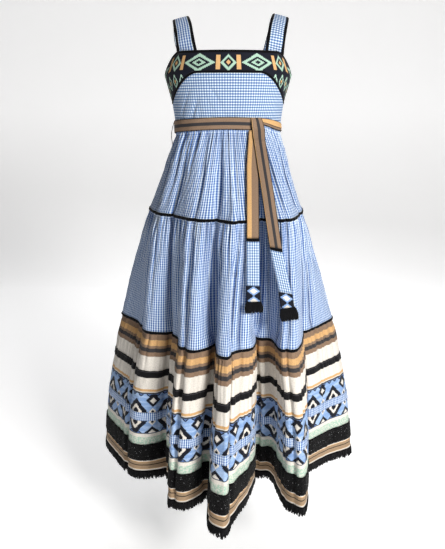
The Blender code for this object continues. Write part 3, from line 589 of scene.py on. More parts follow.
def make_net(name, grid, places, material, thickness=0.0, flip=False, crease=None):
    """A piece from a net of points. With a thickness it grows inward from the net. The last argument gives
    each point's painted shade, from 0 to 1, which grows with how deep in a gather or hollow it lies; the
    finishes paint it darker there."""
    rows, columns = grid.shape[:2]
    index = np.arange(rows * columns).reshape(rows, columns)
    quads = np.stack([index[:-1, :-1], index[1:, :-1], index[1:, 1:], index[:-1, 1:]], axis=-1).reshape(-1, 4)
    if flip:
        quads = quads[:, ::-1]
    # Painted shade of each point, none where none is given.
    depth = np.zeros((rows, columns)) if crease is None else crease
    piece = build(name, grid.reshape(-1, 3), quads, material, cut=places, crease=np.dstack([depth, depth]))
    if thickness:
        wall = piece.modifiers.new("thickness", "SOLIDIFY")
        wall.thickness = thickness
        wall.offset = -1.0
    return piece


def net_area(grid):
    """The surface of a net in square metres."""
    right, down = np.diff(grid, axis=1)[:-1], np.diff(grid, axis=0)[:, :-1]
    return float(np.linalg.norm(np.cross(right, down), axis=2).sum())


def sew_on(piece, node=None):
    """Ride a piece on the dress. Where a solid is named, the piece stands for it."""
    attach(piece, "root")
    if node:
        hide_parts(node)
    return piece


print("a piece is a net of points with its flat cut")

# %% [markdown]
# ## The body of the bodice
# The upper part fits the body closely, so each level is a flattened ring, a little squarer than an
# ellipse. The neckline runs level in front, drops under the arms and rises again at the back. The belt
# tilts down towards the back, as it does on the dress. Between the knot and the right side it is pulled
# together from below, and the waist seam rises under it there.

# %% Bodice form
# Levels of the body, a row each: height, half width, depth in front and depth behind
TORSO = np.array((
    (-0.300, 0.137, 0.107, 0.092),
    (-0.262, 0.137, 0.107, 0.092),
    (-0.210, 0.144, 0.117, 0.096),
    (-0.141, 0.163, 0.121, 0.104),
    (-0.085, 0.142, 0.109, 0.100),
))
TORSO_POWER = 2.3
TRIM_WIDTH = 0.0056
SEAM_GAP = 0.0003
BELT_HEIGHT = 0.030


def torso(degrees, z, out=0.0):
    """Points of the body's ring at these angles and heights, moved out."""
    degrees, z = np.broadcast_arrays(np.asarray(degrees, float), np.asarray(z, float))
    half_width, front, back = (np.interp(z, TORSO[:, 0], TORSO[:, k]) for k in (1, 2, 3))
    angle = np.radians(degrees)
    depth = np.where(np.cos(angle) > 0, front, back)
    reach = ((np.abs(np.sin(angle)) / (half_width + out)) ** TORSO_POWER
             + (np.abs(np.cos(angle)) / (depth + out)) ** TORSO_POWER) ** (-1.0 / TORSO_POWER)
    return np.stack([reach * np.sin(angle), -reach * np.cos(angle), z], axis=-1)


def signed(degrees):
    """A turn counted from -180 to 180."""
    return (np.asarray(degrees, float) + 180.0) % 360.0 - 180.0


def around(degrees):
    return np.abs(signed(degrees))


def z_neckline(degrees):
    turn = around(degrees)
    return -0.092 - 0.049 * ease(turn, 62.0, 93.0) + 0.036 * ease(turn, 97.0, 115.0)


def z_band_seam(degrees):
    return -0.137 - 0.073 * ease(around(degrees), 34.0, 82.0)


def z_belt(degrees):
    return -0.2715 + 0.013 * np.cos(np.radians(degrees))


def narrowing(degrees):
    """How much the belt is narrowed from below between the knot and the right side, from 0 to 1."""
    turn = signed(degrees)
    return ease(turn, 27.0, 36.0) * (1.0 - 0.74 * ease(turn, 40.0, 66.0)) * (1.0 - ease(turn, 104.0, 150.0))


def z_waist(degrees):
    return z_belt(degrees) - 0.0145 + 0.0140 * narrowing(degrees)


def edge_line(height, shift):
    """A line that keeps its distance from another, also where that one climbs."""
    def line(degrees):
        before, after = np.asarray(degrees) - 1.0, np.asarray(degrees) + 1.0
        run = torso(after, height(after)) - torso(before, height(before))
        slant = np.linalg.norm(run, axis=-1) / np.hypot(run[..., 0], run[..., 1])
        return height(degrees) + shift * slant
    return line


def torso_net(low, high, columns, upper, lower, rows, relief):
    """A net on the body between two lines. relief gives how far each point stands out."""
    turns = np.linspace(low, high, columns + 1)
    shares = np.linspace(0.0, 1.0, rows + 1)[:, None]
    z = upper(turns) * (1.0 - shares) + lower(turns) * shares
    return torso(np.broadcast_to(turns, z.shape), z, relief(turns, shares))


whole_turn = np.linspace(0, 360, 361)
print("waist", round(length_of(torso(whole_turn, z_waist(whole_turn))), 3), "m")

# %% [markdown]
# ## Band and bodice panels
# The band is smooth and a little padded by its dark lining, which also keeps its figures from showing
# through inside the neck. The gingham panels below it are eased into the belt with small gathers, which
# show as short soft creases above the belt, and are pulled into slanting ones at the sides. Both are cut
# in a front and a back that meet at the side seams.

# %% Ease of the bodice
PANEL_GATHERS, PANEL_PULLS = 46, 20


def ripple(turns, shares, seed, size):
    """Slow unevenness of a fitted cloth."""
    wave = np.sin(np.radians(turns * 5.0 + 40.0 * seed)) * np.sin(shares * 3.1 + seed)
    wave = wave + 0.6 * np.sin(np.radians(turns * 11.0 + 70.0 * seed)) * np.cos(shares * 5.0 + seed)
    return size * wave


def panel_relief(turns, shares):
    """Ease of the bodice panels: small creases rise from the belt, uneven in length and depth."""
    relief = ripple(turns, shares, 3, 0.0003)
    for k in range(PANEL_GATHERS):
        centre = -100 + 360.0 * (k + 0.5 + 0.8 * (uneven(k, 31) - 0.5)) / PANEL_GATHERS
        length = 0.12 + 0.42 * uneven(k, 32) ** 2
        depth = 0.0030 * (0.3 + uneven(k, 33))
        wide = 0.8 + 1.3 * uneven(k, 34)
        lean = 6.0 * (uneven(k, 35) - 0.5)
        up = 1.0 - shares
        gap = signed(turns - centre - lean * up)
        relief = relief - depth * np.exp(-(gap / (wide * (1.0 + up))) ** 2) * np.exp(-(up / length) ** 2)
    for k in range(PANEL_PULLS):
        side = (k % 4) * 90.0 + (58.0 if k % 2 else -58.0) + 22.0 * uneven(k, 36)
        lean = (20.0 + 26.0 * uneven(k, 37)) * (1.0 if k % 2 else -1.0)
        level = 0.30 + 0.55 * uneven(k, 38)
        gap = signed(turns - side - lean * (shares - level))
        fade = np.exp(-((shares - level) / 0.22) ** 2)
        relief = relief - 0.0016 * (0.4 + uneven(k, 39)) * np.exp(-(gap / 2.2) ** 2) * fade
    return relief


print(PANEL_GATHERS, "small gathers above the belt and", PANEL_PULLS, "slanting pulls")

# %% Bodice pieces
SIDE_TURN = 0.11
HALVES = (("front", -90 + SIDE_TURN, 90 - SIDE_TURN), ("back", 90 + SIDE_TURN, 270 - SIDE_TURN))
BAND_LOW = edge_line(z_band_seam, TRIM_WIDTH / 2)
PANEL_TOP = edge_line(z_band_seam, -TRIM_WIDTH / 2)
CLOTH_THICK = 0.0009
LINING_OUT = -0.0014


def fitted_sheet(piece, grid):
    round(net_area(grid), 4)


for tag, low, high in HALVES:
    grid = torso_net(low, high, 150, z_neckline, BAND_LOW, 16, lambda t, s: ripple(t, s, 1, 0.0002) + 0.0002)
    run = arc(grid[8])
    band_width = float(run[-1])
    from_neck = z_neckline(np.linspace(low, high, 151)) - grid[:, :, 2]
    band = make_net(f"band_{tag}_cloth", grid, places_apart(run - band_width / 2, from_neck), BAND_PRINT,
                    CLOTH_THICK)
    fitted_sheet(sew_on(band, f"band_{tag}"), grid)
    grid = torso_net(low, high, 90, z_neckline, BAND_LOW, 6, lambda t, s: LINING_OUT)
    lining = make_net(f"band_{tag}_lining", grid, cut_places(grid, band_width, 0.10), LINING, 0.0004)
    fitted_sheet(sew_on(lining), grid)
    grid = torso_net(low, high, 190, PANEL_TOP, z_waist, 34, panel_relief)
    run = arc(grid[12])
    width = float(run[-1])
    panel = make_net(f"bodice_{tag}_cloth", grid, places_apart(run - width / 2, -grid[:, :, 2]),
                     BODICE_GINGHAM, CLOTH_THICK)
    fitted_sheet(sew_on(panel, f"bodice_{tag}"), grid)
    print(tag, "band", round(band_width, 3), "m, panel", round(width, 3), "m")

# %% [markdown]
# ## Velvet along the seams
# A narrow velvet strip is sewn over each seam. It is a low rounded ridge: its edges are stitched down
# and its middle stands up by a millimetre. A ridge is a net of seven rows whose middle rows are lifted.

# %% Velvet strips
def ridge_net(upper_edge, lower_edge, away, lift, dome, rows=6):
    """A rounded strip between two lines of points; away points out of the cloth."""
    shares = np.linspace(0.0, 1.0, rows + 1)[:, None, None]
    rise = lift + dome * np.sin(np.pi * shares) ** 0.6
    return upper_edge * (1.0 - shares) + lower_edge * shares + away * rise


def velvet_strip(name, node, grid, measured_row):
    places = cut_places(grid, length_of(grid[measured_row]), TRIM_WIDTH)
    sew_on(make_net(name, grid, places, VELVET, 0.0006), node)


def torso_trim(name, node, upper, lower):
    turns = np.linspace(0.0, 360.0, 301) - 90.0
    top, low = torso(turns, upper(turns)), torso(turns, lower(turns))
    middle = (upper(turns) + lower(turns)) / 2
    away = (torso(turns, middle, 0.001) - torso(turns, middle)) / 0.001
    velvet_strip(name, node, ridge_net(top, low, away, 0.0002, 0.0011), 3)


torso_trim("neck_velvet", "neck_trim", edge_line(z_neckline, TRIM_WIDTH), edge_line(z_neckline, -0.0004))
torso_trim("band_velvet", "band_trim", edge_line(z_band_seam, TRIM_WIDTH / 2 + 0.0002),
           edge_line(z_band_seam, -TRIM_WIDTH / 2 - 0.0002))
print("velvet on the neckline and under the band")

# %% [markdown]
# ## The skirt's form
# Three gathered tiers hang from the waist. Each seam is a wavy ring, and a tier is the surface between
# two of them. The bends of the rings are the big folds, the same ones that the solids have. A smooth
# closed curve runs through them, slack where they lie far apart and tight where they crowd.
# Where folds press together the cloth is pinched in further than the solids show.

# %% Skirt form
# A row for each bend: its angle at the waist, then angle and reach at the two seams and the hem
FOLD_BENDS = np.array((
    (-100, -98, 0.214, -98, 0.307, -99.5, 0.375), (-76, -76, 0.206, -80, 0.252, -76, 0.320),
    (-60, -62, 0.203, -60, 0.250, -60, 0.300), (-48, -50, 0.190, -47, 0.212, -50, 0.238),
    (-36, -38, 0.194, -37, 0.216, -40, 0.238), (-26, -27, 0.206, -26, 0.272, -27.5, 0.328),
    (-17, -18, 0.210, -17, 0.281, -20.5, 0.322), (-9, -8.5, 0.203, -8.5, 0.243, -12.5, 0.272),
    (-3, -2.5, 0.213, -4.5, 0.302, -7, 0.386), (2, 3, 0.230, -0.5, 0.311, -1.5, 0.411),
    (9, 9, 0.221, 3.5, 0.272, 3.2, 0.335), (16, 16, 0.215, 13, 0.256, 11.5, 0.262),
    (24, 23, 0.210, 22, 0.205, 27, 0.183), (31, 28.5, 0.218, 30, 0.212, 36, 0.188),
    (36, 33, 0.240, 26.5, 0.292, 26.8, 0.330), (42, 38.5, 0.244, 31.5, 0.309, 29.8, 0.376),
    (50, 46, 0.232, 38.5, 0.290, 36, 0.348), (62, 60, 0.212, 56, 0.244, 58, 0.260),
    (76, 76, 0.203, 74, 0.262, 75, 0.290), (92, 92, 0.200, 90, 0.296, 88, 0.369),
    (104, 106, 0.200, 106, 0.268, 105, 0.318), (116, 117, 0.196, 117, 0.232, 118, 0.262),
    (128, 128, 0.208, 129, 0.274, 130, 0.336), (139, 139, 0.214, 140, 0.288, 140, 0.352),
    (149, 149, 0.203, 150, 0.246, 152, 0.276), (160, 160, 0.207, 160, 0.262, 161, 0.318),
    (171, 171, 0.216, 171, 0.292, 170, 0.372), (182, 182, 0.208, 183, 0.264, 182, 0.312),
    (193, 193, 0.198, 194, 0.232, 196, 0.248), (205, 205, 0.209, 206, 0.278, 207, 0.340),
    (216, 216, 0.213, 216, 0.284, 216, 0.352), (228, 227, 0.203, 227, 0.246, 228, 0.282),
    (242, 242, 0.204, 242, 0.256, 242, 0.306),
))
# The side seams lie at this bend and at the first one
SIDE_BEND = 19
CURVE_STEPS = 24
Z_TIER1, Z_TIER2, Z_HEM = -0.485, -0.795, -1.213
# Pinches: the bend that each lies at and its strength
PINCHES = (
    (3, 1.0), (7, 1.0), (12, 1.0), (17, 0.9), (21, 1.0), (24, 0.8), (28, 1.1), (31, 0.9), (5.3, 0.50),
    (9.6, 0.55), (14.5, 0.50), (19.4, 0.45), (22.6, 0.5), (26.3, 0.55), (29.6, 0.5), (1.5, 0.5),
)


def hermite(start, leaving, end, arriving, steps):
    """Points of a smooth curve from start up to end, with the direction at both."""
    t = np.arange(steps)[:, None] / steps
    return ((2 * t**3 - 3 * t**2 + 1) * start + (t**3 - 2 * t**2 + t) * leaving
            + (3 * t**2 - 2 * t**3) * end + (t**3 - t**2) * arriving)


def closed_curve(points):
    samples = []
    for i in range(len(points)):
        p0, p1, p2, p3 = (points[(i + k) % len(points)] for k in (-1, 0, 1, 2))
        g0, g1, g2 = (max(np.linalg.norm(b - a), 1e-6) ** 0.5 for a, b in ((p0, p1), (p1, p2), (p2, p3)))
        m1 = ((p1 - p0) / g0 - (p2 - p0) / (g0 + g1) + (p2 - p1) / g1) * g1
        m2 = ((p2 - p1) / g1 - (p3 - p1) / (g1 + g2) + (p3 - p2) / g2) * g1
        samples.append(hermite(p1, m1, p2, m2, CURVE_STEPS))
    return np.vstack(samples)


def seam_ring(angle_column, z, deep, wide):
    """A seam's ring from the table, with pinches this deep and wide."""
    angle = np.radians(FOLD_BENDS[:, angle_column])
    reach = FOLD_BENDS[:, angle_column + 1]
    plan = closed_curve(np.column_stack([reach * np.sin(angle), -reach * np.cos(angle)]))
    run = arc_round(plan)
    inward = np.zeros(len(plan))
    for bend, strength in PINCHES:
        aside = run[:-1] - run[int(bend * CURVE_STEPS)]
        aside = (aside + run[-1] / 2) % run[-1] - run[-1] / 2
        inward += deep * strength * np.exp(-1.5 * (np.sqrt((aside / wide) ** 2 + 0.03) - 0.17))
    plan *= (1.0 - inward / np.hypot(plan[:, 0], plan[:, 1]))[:, None]
    return np.column_stack([plan, np.full(len(plan), z)])


def waist_ring():
    turns = np.append(FOLD_BENDS[:, 0], FOLD_BENDS[0, 0] + 360.0)
    fine = np.interp(np.arange(len(FOLD_BENDS) * CURVE_STEPS) / CURVE_STEPS, np.arange(len(turns)), turns)
    return torso(fine, z_waist(fine))


RINGS = {"waist": waist_ring(), "tier1": seam_ring(1, Z_TIER1, 0.013, 0.0060),
         "tier2": seam_ring(3, Z_TIER2, 0.021, 0.0085), "hem": seam_ring(5, Z_HEM, 0.016, 0.0130)}
for name, ring in RINGS.items():
    print(name, "ring", round(float(arc_round(ring)[-1]), 3), "m round")

# %% [markdown]
# ## Gathers
# A gathered seam packs a long cloth into a short one. The cloth answers with soft round ridges and
# narrow troughs between them. No two are alike: some troughs fade after a finger's width and some run
# on into the big folds. So each trough gets its own place, depth, width, length and lean, and they are
# summed. A cloth simulation could make them too, but not where the photo has them.

# %% Trough tables
# Layers of troughs, a row each: spacing, depth, half width, shortest length, the longest as a share of
# the tier, and how much they open by its foot
TROUGH_LAYERS = (
    (0.0360, 0.0075, 0.0095, 0.120, 1.80, 0.9),
    (0.0150, 0.0125, 0.0034, 0.045, 1.10, 1.3),
    (0.0064, 0.0062, 0.0017, 0.012, 0.40, 2.5),
)

# Gathers that stand out below the belt: bend, depth, half width, length and lean
MARKED_GATHERS = (
    (14.5, 0.0110, 0.0042, 0.21, 0.00), (15.3, 0.0080, 0.0034, 0.10, 0.03),
    (16.2, 0.0115, 0.0046, 0.15, -0.02), (17.0, 0.0125, 0.0052, 0.30, 0.00),
    (17.8, 0.0090, 0.0046, 0.20, 0.02), (18.6, 0.0090, 0.0050, 0.24, 0.00),
    (0.6, 0.0080, 0.0046, 0.22, 0.00), (2.3, 0.0080, 0.0042, 0.14, 0.02),
    (6.1, 0.0070, 0.0040, 0.17, 0.00), (8.5, 0.0080, 0.0042, 0.24, -0.01),
    (22.4, 0.0090, 0.0050, 0.22, 0.00), (25.5, 0.0080, 0.0046, 0.19, 0.02),
    (30.2, 0.0090, 0.0050, 0.25, 0.00),
)
# Bends where a big fold lies with a sharp edge over the hollow beside it, which is also painted with shade
FOLD_EDGES = (4.62, 7.5, 10.3, 13.55, 17.5, 20.5, 23.5, 26.4, 29.4, 32.0)


def trough(aside, wide):
    """The shape across a trough: a narrow bottom that opens softly."""
    return np.exp(-np.sqrt((aside / wide) ** 2 + 0.04) * 1.4)


print(len(MARKED_GATHERS), "marked gathers,", len(FOLD_EDGES), "fold edges and", len(PINCHES), "pinches")

# %% [markdown]
# ## The surface of a tier
# A tier's cloth runs from the ring above to the ring below, bellied out a little and pulled in by its
# troughs, which are sharp near the seam and open as they run down. The first tier has some gathers that
# stand out. Below a pinch the cloth sags into a hollow, and on the second tier a big fold ends in an
# edge. All of them also get painted shade: the finish paints the troughs, hollows and edges darker.

# %% Tier surfaces
class Tier:
    """A gathered tier between two rings, with its own troughs. foot is the share of them left at its
    foot, depth scales them, hollow says how deep the hollows below pinches are and shade how much painted
    shade they get."""

    def __init__(self, name, top, bottom, belly, seed, foot=0.0, depth=1.0, hollow=0.0, shade=0.0,
                 gathers=(), edges=()):
        self.name, self.top, self.bottom, self.belly = name, RINGS[top], RINGS[bottom], belly
        self.seed, self.foot, self.depth, self.hollow, self.shade = seed, foot, depth, hollow, shade
        self.gathers, self.edges = gathers, edges
        lengths = [arc_round(ring) for ring in (self.top, self.bottom)]
        self.measure = 0.5 * (lengths[0] / lengths[0][-1] + lengths[1] / lengths[1][-1])
        self.round = 0.5 * (lengths[0][-1] + lengths[1][-1])
        self.drop = abs(float(self.top[:, 2].mean() - self.bottom[:, 2].mean()))

    def share_at(self, bend):
        return float(self.measure[int(bend * CURVE_STEPS)])

    def beside(self, shares, centre):
        """Metres round the tier from a place on it, the short way."""
        return ((shares - centre + 0.5) % 1.0 - 0.5) * self.round

    def trough_field(self, shares, downs):
        """How far the troughs pull each point in, rows by columns."""
        field = np.zeros((len(downs), len(shares)))
        downs = downs[:, None]
        fall = downs * self.drop
        for layer, (spacing, deep, wide, shortest, longest, opening) in enumerate(TROUGH_LAYERS):
            count = int(self.round / spacing)
            number = np.arange(count)
            seed = self.seed * 10 + layer * 50
            centres = (number + 0.5 + 0.8 * (uneven(number, seed + 1) - 0.5)) / count
            depths = self.depth * deep * (0.25 + 1.0 * uneven(number, seed + 2))
            widths = wide * (0.6 + 0.8 * uneven(number, seed + 3))
            lengths = shortest + (longest * self.drop - shortest) * uneven(number, seed + 4) ** 2.5
            leans = 0.08 * (uneven(number, seed + 5) - 0.5)
            for k in range(count):
                aside = self.beside(shares, centres[k]) - leans[k] * fall
                near = np.abs(aside).min(axis=0) < 0.05
                if not near.any():
                    continue
                shape = trough(aside[:, near], widths[k] * (1.0 + opening * fall / self.drop))
                field[:, near] -= depths[k] * shape * np.exp(-(fall / lengths[k]) ** 2)
        for bend, deep, wide, length, lean in self.gathers:
            aside = self.beside(shares, self.share_at(bend)) - lean * fall
            shape = trough(aside, wide * (0.7 + fall / self.drop))
            field -= deep * shape * np.exp(-(fall / length) ** 4)
        start = 0.18 + 0.82 * ease(fall, 0.0, 0.010)
        # Painted shade: the deeper a trough, the darker it is painted; hollows and fold edges below add to
        # it.
        self.crease = 0.62 * np.clip(-field * start / (0.0110 * self.depth) - 0.31, 0.0, 1.0)
        sag = np.sin(math.pi * np.clip(downs, 0.0, 1.0) ** 1.3) ** 0.8
        for bend, strength in PINCHES:
            aside = self.beside(shares, self.share_at(bend))
            spread = (0.009 + 0.011 * downs) * (0.5 + 0.5 * strength)
            spread = spread * np.where(aside > 0.0, 0.62, 1.30)
            valley = strength * sag * np.exp(-(aside / spread) ** 2)
            field -= self.hollow * valley
            self.crease = np.clip(self.crease + self.shade * valley, 0.0, 1.0)
        for bend in self.edges:
            aside = self.beside(shares, self.share_at(bend))
            edge = ease(downs, 0.15, 0.60) * np.exp(-(aside / np.where(aside > 0.0, 0.0026, 0.0058)) ** 2)
            field -= 0.0070 * edge
            self.crease = np.clip(self.crease + 0.95 * edge, 0.0, 1.0)
        end = 1.0 - ease(downs, 0.88, 1.0)
        turn = shares * 2.0 * math.pi
        rumple = np.sin(turn * 61 + 9.0 * downs + self.seed) * np.sin(downs * 17.0 + turn * 23)
        rumple = rumple + 0.7 * np.sin(turn * 97 - 21.0 * downs) * np.cos(downs * 29.0 - turn * 31)
        return (field * start + 0.0007 * rumple * start) * (end * (1.0 - self.foot) + self.foot)

    def surface(self, shares, downs, out=0.0):
        """Points of the tier: rows follow downs, columns follow shares."""
        shares, downs = np.asarray(shares, float), np.asarray(downs, float)
        position = np.interp(shares % 1.0, self.measure, np.arange(len(self.measure)))
        position = np.where(shares >= 1.0, len(self.top) - 1e-6, position)
        low = np.floor(position).astype(int) % len(self.top)
        high, mix = (low + 1) % len(self.top), (position - np.floor(position))[:, None]
        relief = self.trough_field(shares, downs)
        puff = 0.0030 * np.sin(np.pi * np.clip(downs * self.drop / 0.10, 0.0, 1.0)) ** 0.7
        rows = []
        for k, down in enumerate(downs):
            ring = self.top * (1.0 - down) + self.bottom * down
            run = np.roll(ring, -1, axis=0) - np.roll(ring, 1, axis=0)
            away = np.column_stack([run[:, 1], -run[:, 0], np.zeros(len(run))])
            away /= np.linalg.norm(away, axis=1)[:, None]
            base = ring[low] * (1.0 - mix) + ring[high] * mix
            push = away[low] * (1.0 - mix) + away[high] * mix
            radial = base * [1.0, 1.0, 0.0] / np.hypot(base[:, 0], base[:, 1])[:, None]
            swell = self.belly * math.sin(math.pi * down)
            rows.append(base + radial * swell + push * (relief[k] + puff[k] + out)[:, None])
        return np.array(rows)


TIER1 = Tier("tier1", "waist", "tier1", 0.0, 1, hollow=0.010, shade=0.04, gathers=MARKED_GATHERS)
TIER2 = Tier("tier2", "tier1", "tier2", 0.006, 2, hollow=0.017, shade=0.22, edges=FOLD_EDGES)
BORDER = Tier("border", "tier2", "hem", 0.012, 3, 0.35, 0.60, 0.015)
print("tiers measure", [round(tier.round, 2) for tier in (TIER1, TIER2, BORDER)], "m round on average")

# %% [markdown]
# ## Gingham tiers and the border
# Each tier is sewn from a front and a back. Their nets have more rows near the top, where the gathers
# are fine. The flat cut is as wide as the rows are on average, measured along their folds. That is much
# more than the ring that it hangs in, which is what makes the gathers. The velvet and tapes sewn on later
# use the same columns, so they follow each fold.

# %% Tier pieces
BORDER_STITCH = 0.945
BORDER_LENGTH = 0.436
TIER1_COLUMNS = 360


def flat_size(grid):
    """The mean width and length of a net, measured along its cloth with all its folds."""
    width = float(np.mean([length_of(row) for row in grid]))
    length = float(np.mean([length_of(grid[:, k]) for k in range(0, grid.shape[1], 8)]))
    return width, length


def half_columns(tier, columns, tag):
    """Where the columns of a front or a back lie round the tier."""
    side = tier.share_at(SIDE_BEND)
    start, end = (0.0, side) if tag == "front" else (side, 1.0)
    gap = SEAM_GAP / tier.round
    return np.linspace(start + gap, end - gap, columns + 1)


def make_tier(tier, columns, rows, last_down, material):
    downs = last_down * np.linspace(0.0, 1.0, rows + 1) ** 1.25
    tier.round_columns = np.concatenate([[0.0], half_columns(tier, columns, "front"),
                                         half_columns(tier, columns, "back"), [1.0]])
    for tag in ("front", "back"):
        shares = half_columns(tier, columns, tag)
        grid = tier.surface(shares, downs)
        width, length = flat_size(grid)
        places = cut_places(grid, width, length)
        if tier is BORDER:
            places[:, :, 1] = downs[:, None] * BORDER_LENGTH
        name = f"{tier.name}_{tag}"
        piece = make_net(name + "_cloth", grid, places, material, CLOTH_THICK, crease=tier.crease)
        sew_on(piece, name)


make_tier(TIER1, TIER1_COLUMNS, 42, 1.0, SKIRT_GINGHAM)
make_tier(TIER2, 480, 54, 1.0, SKIRT_GINGHAM)
make_tier(BORDER, 520, 58, BORDER_STITCH, border_finish(BORDER_LENGTH))

# %% [markdown]
# ## The seam allowance inside the waist
# Inside a gathered waist the raw edges of bodice and skirt are sewn to a narrow strip of the same
# cloth. It could be left out, since the belt hides the seam, but from above one would then look out
# between the gathers. Its upper edge lies on the bodice and its lower rows follow the gathers.

# %% Waist allowance
def waist_allowance(tag):
    shares = half_columns(TIER1, TIER1_COLUMNS, tag)
    skirt = TIER1.surface(shares, [0.0, 0.004 / TIER1.drop, 0.009 / TIER1.drop], -0.0016)
    turns = np.degrees(np.arctan2(skirt[0, :, 0], -skirt[0, :, 1]))
    bodice = [torso(turns, z_waist(turns) + up, out) for up, out in ((0.009, -0.0058), (0.004, -0.0056))]
    grid = np.concatenate([np.array(bodice), skirt])
    width, length = flat_size(grid)
    piece = make_net(f"waist_allowance_{tag}", grid, cut_places(grid, width, length), SKIRT_GINGHAM, 0.0006)
    sew_on(piece)
    print("seam allowance", tag, round(length, 4), "m deep")


waist_allowance("front")
waist_allowance("back")

# %% [markdown]
# ## Seam velvet and sewn-on tapes of the skirt
# The tapes lie on the border and follow each of its ridges and troughs, because they are read from the
# same surface and only moved out by their thickness. The looped tape gets small uneven loops of its own.
# The velvet over a seam is bent at the seam line, since the cloths above and below it lie differently.

# %% Skirt trims and tapes
# How far the velvet reaches above and below a seam of the skirt
VELVET_REACH = 0.0038


def seam_velvet(name, node, upper, lower):
    reach = VELVET_REACH
    columns = lower.round_columns
    position = np.interp(columns, lower.measure, np.arange(len(lower.measure)))
    upper_shares = np.interp(position, np.arange(len(upper.measure)), upper.measure)
    top = upper.surface(upper_shares, [1.0 - reach / upper.drop])[0]
    low = lower.surface(columns, [reach / lower.drop])[0]
    seam_line = lower.surface(columns, [0.0])[0]
    away = (lower.surface(columns, [0.0], 0.001)[0] - seam_line) / 0.001
    upper_part = ridge_net(top, seam_line, away, 0.0, 0.0, 3)
    lower_part = ridge_net(seam_line, low, away, 0.0, 0.0, 3)
    grid = np.concatenate([upper_part, lower_part[1:]])
    rise = 0.0012 + 0.0016 * np.sin(np.pi * np.linspace(0.0, 1.0, 7)) ** 0.6
    velvet_strip(name, node, grid + away * rise[:, None, None], 2)


def sewn_tape(name, node, material, upper_edge, lower_edge, rows, height, loops=0.0):
    downs = np.linspace(upper_edge, lower_edge, rows + 1)
    shares = BORDER.round_columns
    grid = BORDER.surface(shares, downs, height)
    if loops:
        away = (BORDER.surface(shares, downs, height + 0.001) - grid) / 0.001
        number = np.arange(grid.shape[0] * grid.shape[1]).reshape(grid.shape[:2])
        grid = grid + away * (uneven(number, 41) * loops)[:, :, None]
        grid[:, -1] = grid[:, 0]
    width = flat_size(BORDER.surface(shares, downs, height))[0]
    depth = (lower_edge - upper_edge) * BORDER_LENGTH
    tape = make_net(name, grid, cut_places(grid, width, depth), material, 0.0007)
    sew_on(tape, node)


seam_velvet("tier1_velvet", "tier1_trim", TIER1, TIER2)
seam_velvet("tier2_velvet", "tier2_trim", TIER2, BORDER)
RIBBED = ribbed_finish(0.045 * BORDER_LENGTH)
sewn_tape("ribbed_ribbon_cloth", "ribbed_ribbon", RIBBED, 0.247, 0.293, 4, 0.0016)
sewn_tape("gingham_ribbon_cloth", "gingham_ribbon", SKIRT_GINGHAM, 0.528, 0.584, 4, 0.0016)
sewn_tape("looped_tape_cloth", "boucle_tape", LOOPED, 0.750, 0.868, 9, 0.0014, 0.0018)
print("two velvet seams and three tapes")

# %% [markdown]
# ## Hem fringe
# The fringe is a heading strip with loose cut yarn under it. Each yarn is a thin three-sided tube that
# wavers a little and ends at its own height. Two rows of them, one behind the other, make it dense.

# %% Yarn helper and hem fringe
def make_yarns(name, lines, thick, material):
    """Tapering yarns: lines is yarns by stations by 3, thick the radius at each station."""
    count, stations = lines.shape[:2]
    run = lines[:, -1] - lines[:, 0]
    run /= np.linalg.norm(run, axis=1)[:, None]
    side = np.cross(run, [0.0, 0.0, 1.0]) + np.array([1e-6, 0.0, 0.0])
    side /= np.linalg.norm(side, axis=1)[:, None]
    front = np.cross(run, side)
    base = (np.arange(count)[:, None] * stations + np.arange(stations - 1)[None, :]) * 3
    corners, faces = [], []
    for k in range(3):
        angle = 2.0 * math.pi * k / 3.0
        aside = math.cos(angle) * side + math.sin(angle) * front
        corners.append(lines + aside[:, None, :] * thick[None, :, None])
        j = (k + 1) % 3
        faces.append(np.stack([base + k, base + j, base + 3 + j, base + 3 + k], axis=-1).reshape(-1, 4))
    points = np.stack(corners, axis=2).reshape(-1, 3)
    places = np.stack([points[:, 0] + points[:, 1], points[:, 2]], axis=-1)
    return build(name, points, np.vstack(faces), material, cut=places)


FRINGE_HEAD_TOP, FRINGE_HEAD_FOOT, YARN_TOP = 0.943, 0.957, 0.950
YARNS_ROUND = 1500


def hem_yarns(name, out, seed):
    number = np.arange(YARNS_ROUND)
    clump = np.sin(number * 0.21 + seed) + np.sin(number * 0.083 + 2.0 * seed)
    tips = 1.008 - 0.016 * uneven(number, seed) + 0.003 * clump
    lines = []
    for station in np.linspace(0.0, 1.0, 5):
        sway = (uneven(number, seed + 1) - 0.5) * 0.010 * station ** 1.4
        wave = (uneven(number, seed + 2 + station) - 0.5) * 0.0014 * station
        shares = ((number + 0.5) / YARNS_ROUND + (sway + wave) / BORDER.round) % 1.0
        grid = BORDER.surface(shares, [YARN_TOP, 0.975, 1.0], out)
        down = YARN_TOP + (np.minimum(tips, 1.014) - YARN_TOP) * station
        mix = ((down - YARN_TOP) / 0.05)[:, None]
        lines.append(grid[0] * (1.0 - mix) + grid[2] * mix)
    thick = np.array([0.0014, 0.0017, 0.0018, 0.0016, 0.0009])
    sew_on(make_yarns(name, np.stack(lines, axis=1), thick, YARN))


grid = BORDER.surface(np.linspace(0.0, 1.0, 701), np.linspace(FRINGE_HEAD_TOP, FRINGE_HEAD_FOOT, 4), 0.0006)
head = make_net("hem_fringe_heading", grid, cut_places(grid, flat_size(grid)[0], 0.006), VELVET, 0.0012)
sew_on(head, "hem_fringe")
hem_yarns("hem_fringe_front_yarn", 0.0004, 51)
hem_yarns("hem_fringe_back_yarn", -0.0016, 61)
print("hem fringe of", 2 * YARNS_ROUND, "yarns")

# %% [markdown]
# ## Straps
# Each strap is a flat gingham band with a narrow velvet edging on both sides. It starts on the front
# neckline, runs up over the shoulder and down to the back neckline, and leans outward as it goes. The
# left one hangs a little lower than the right one, as worn.

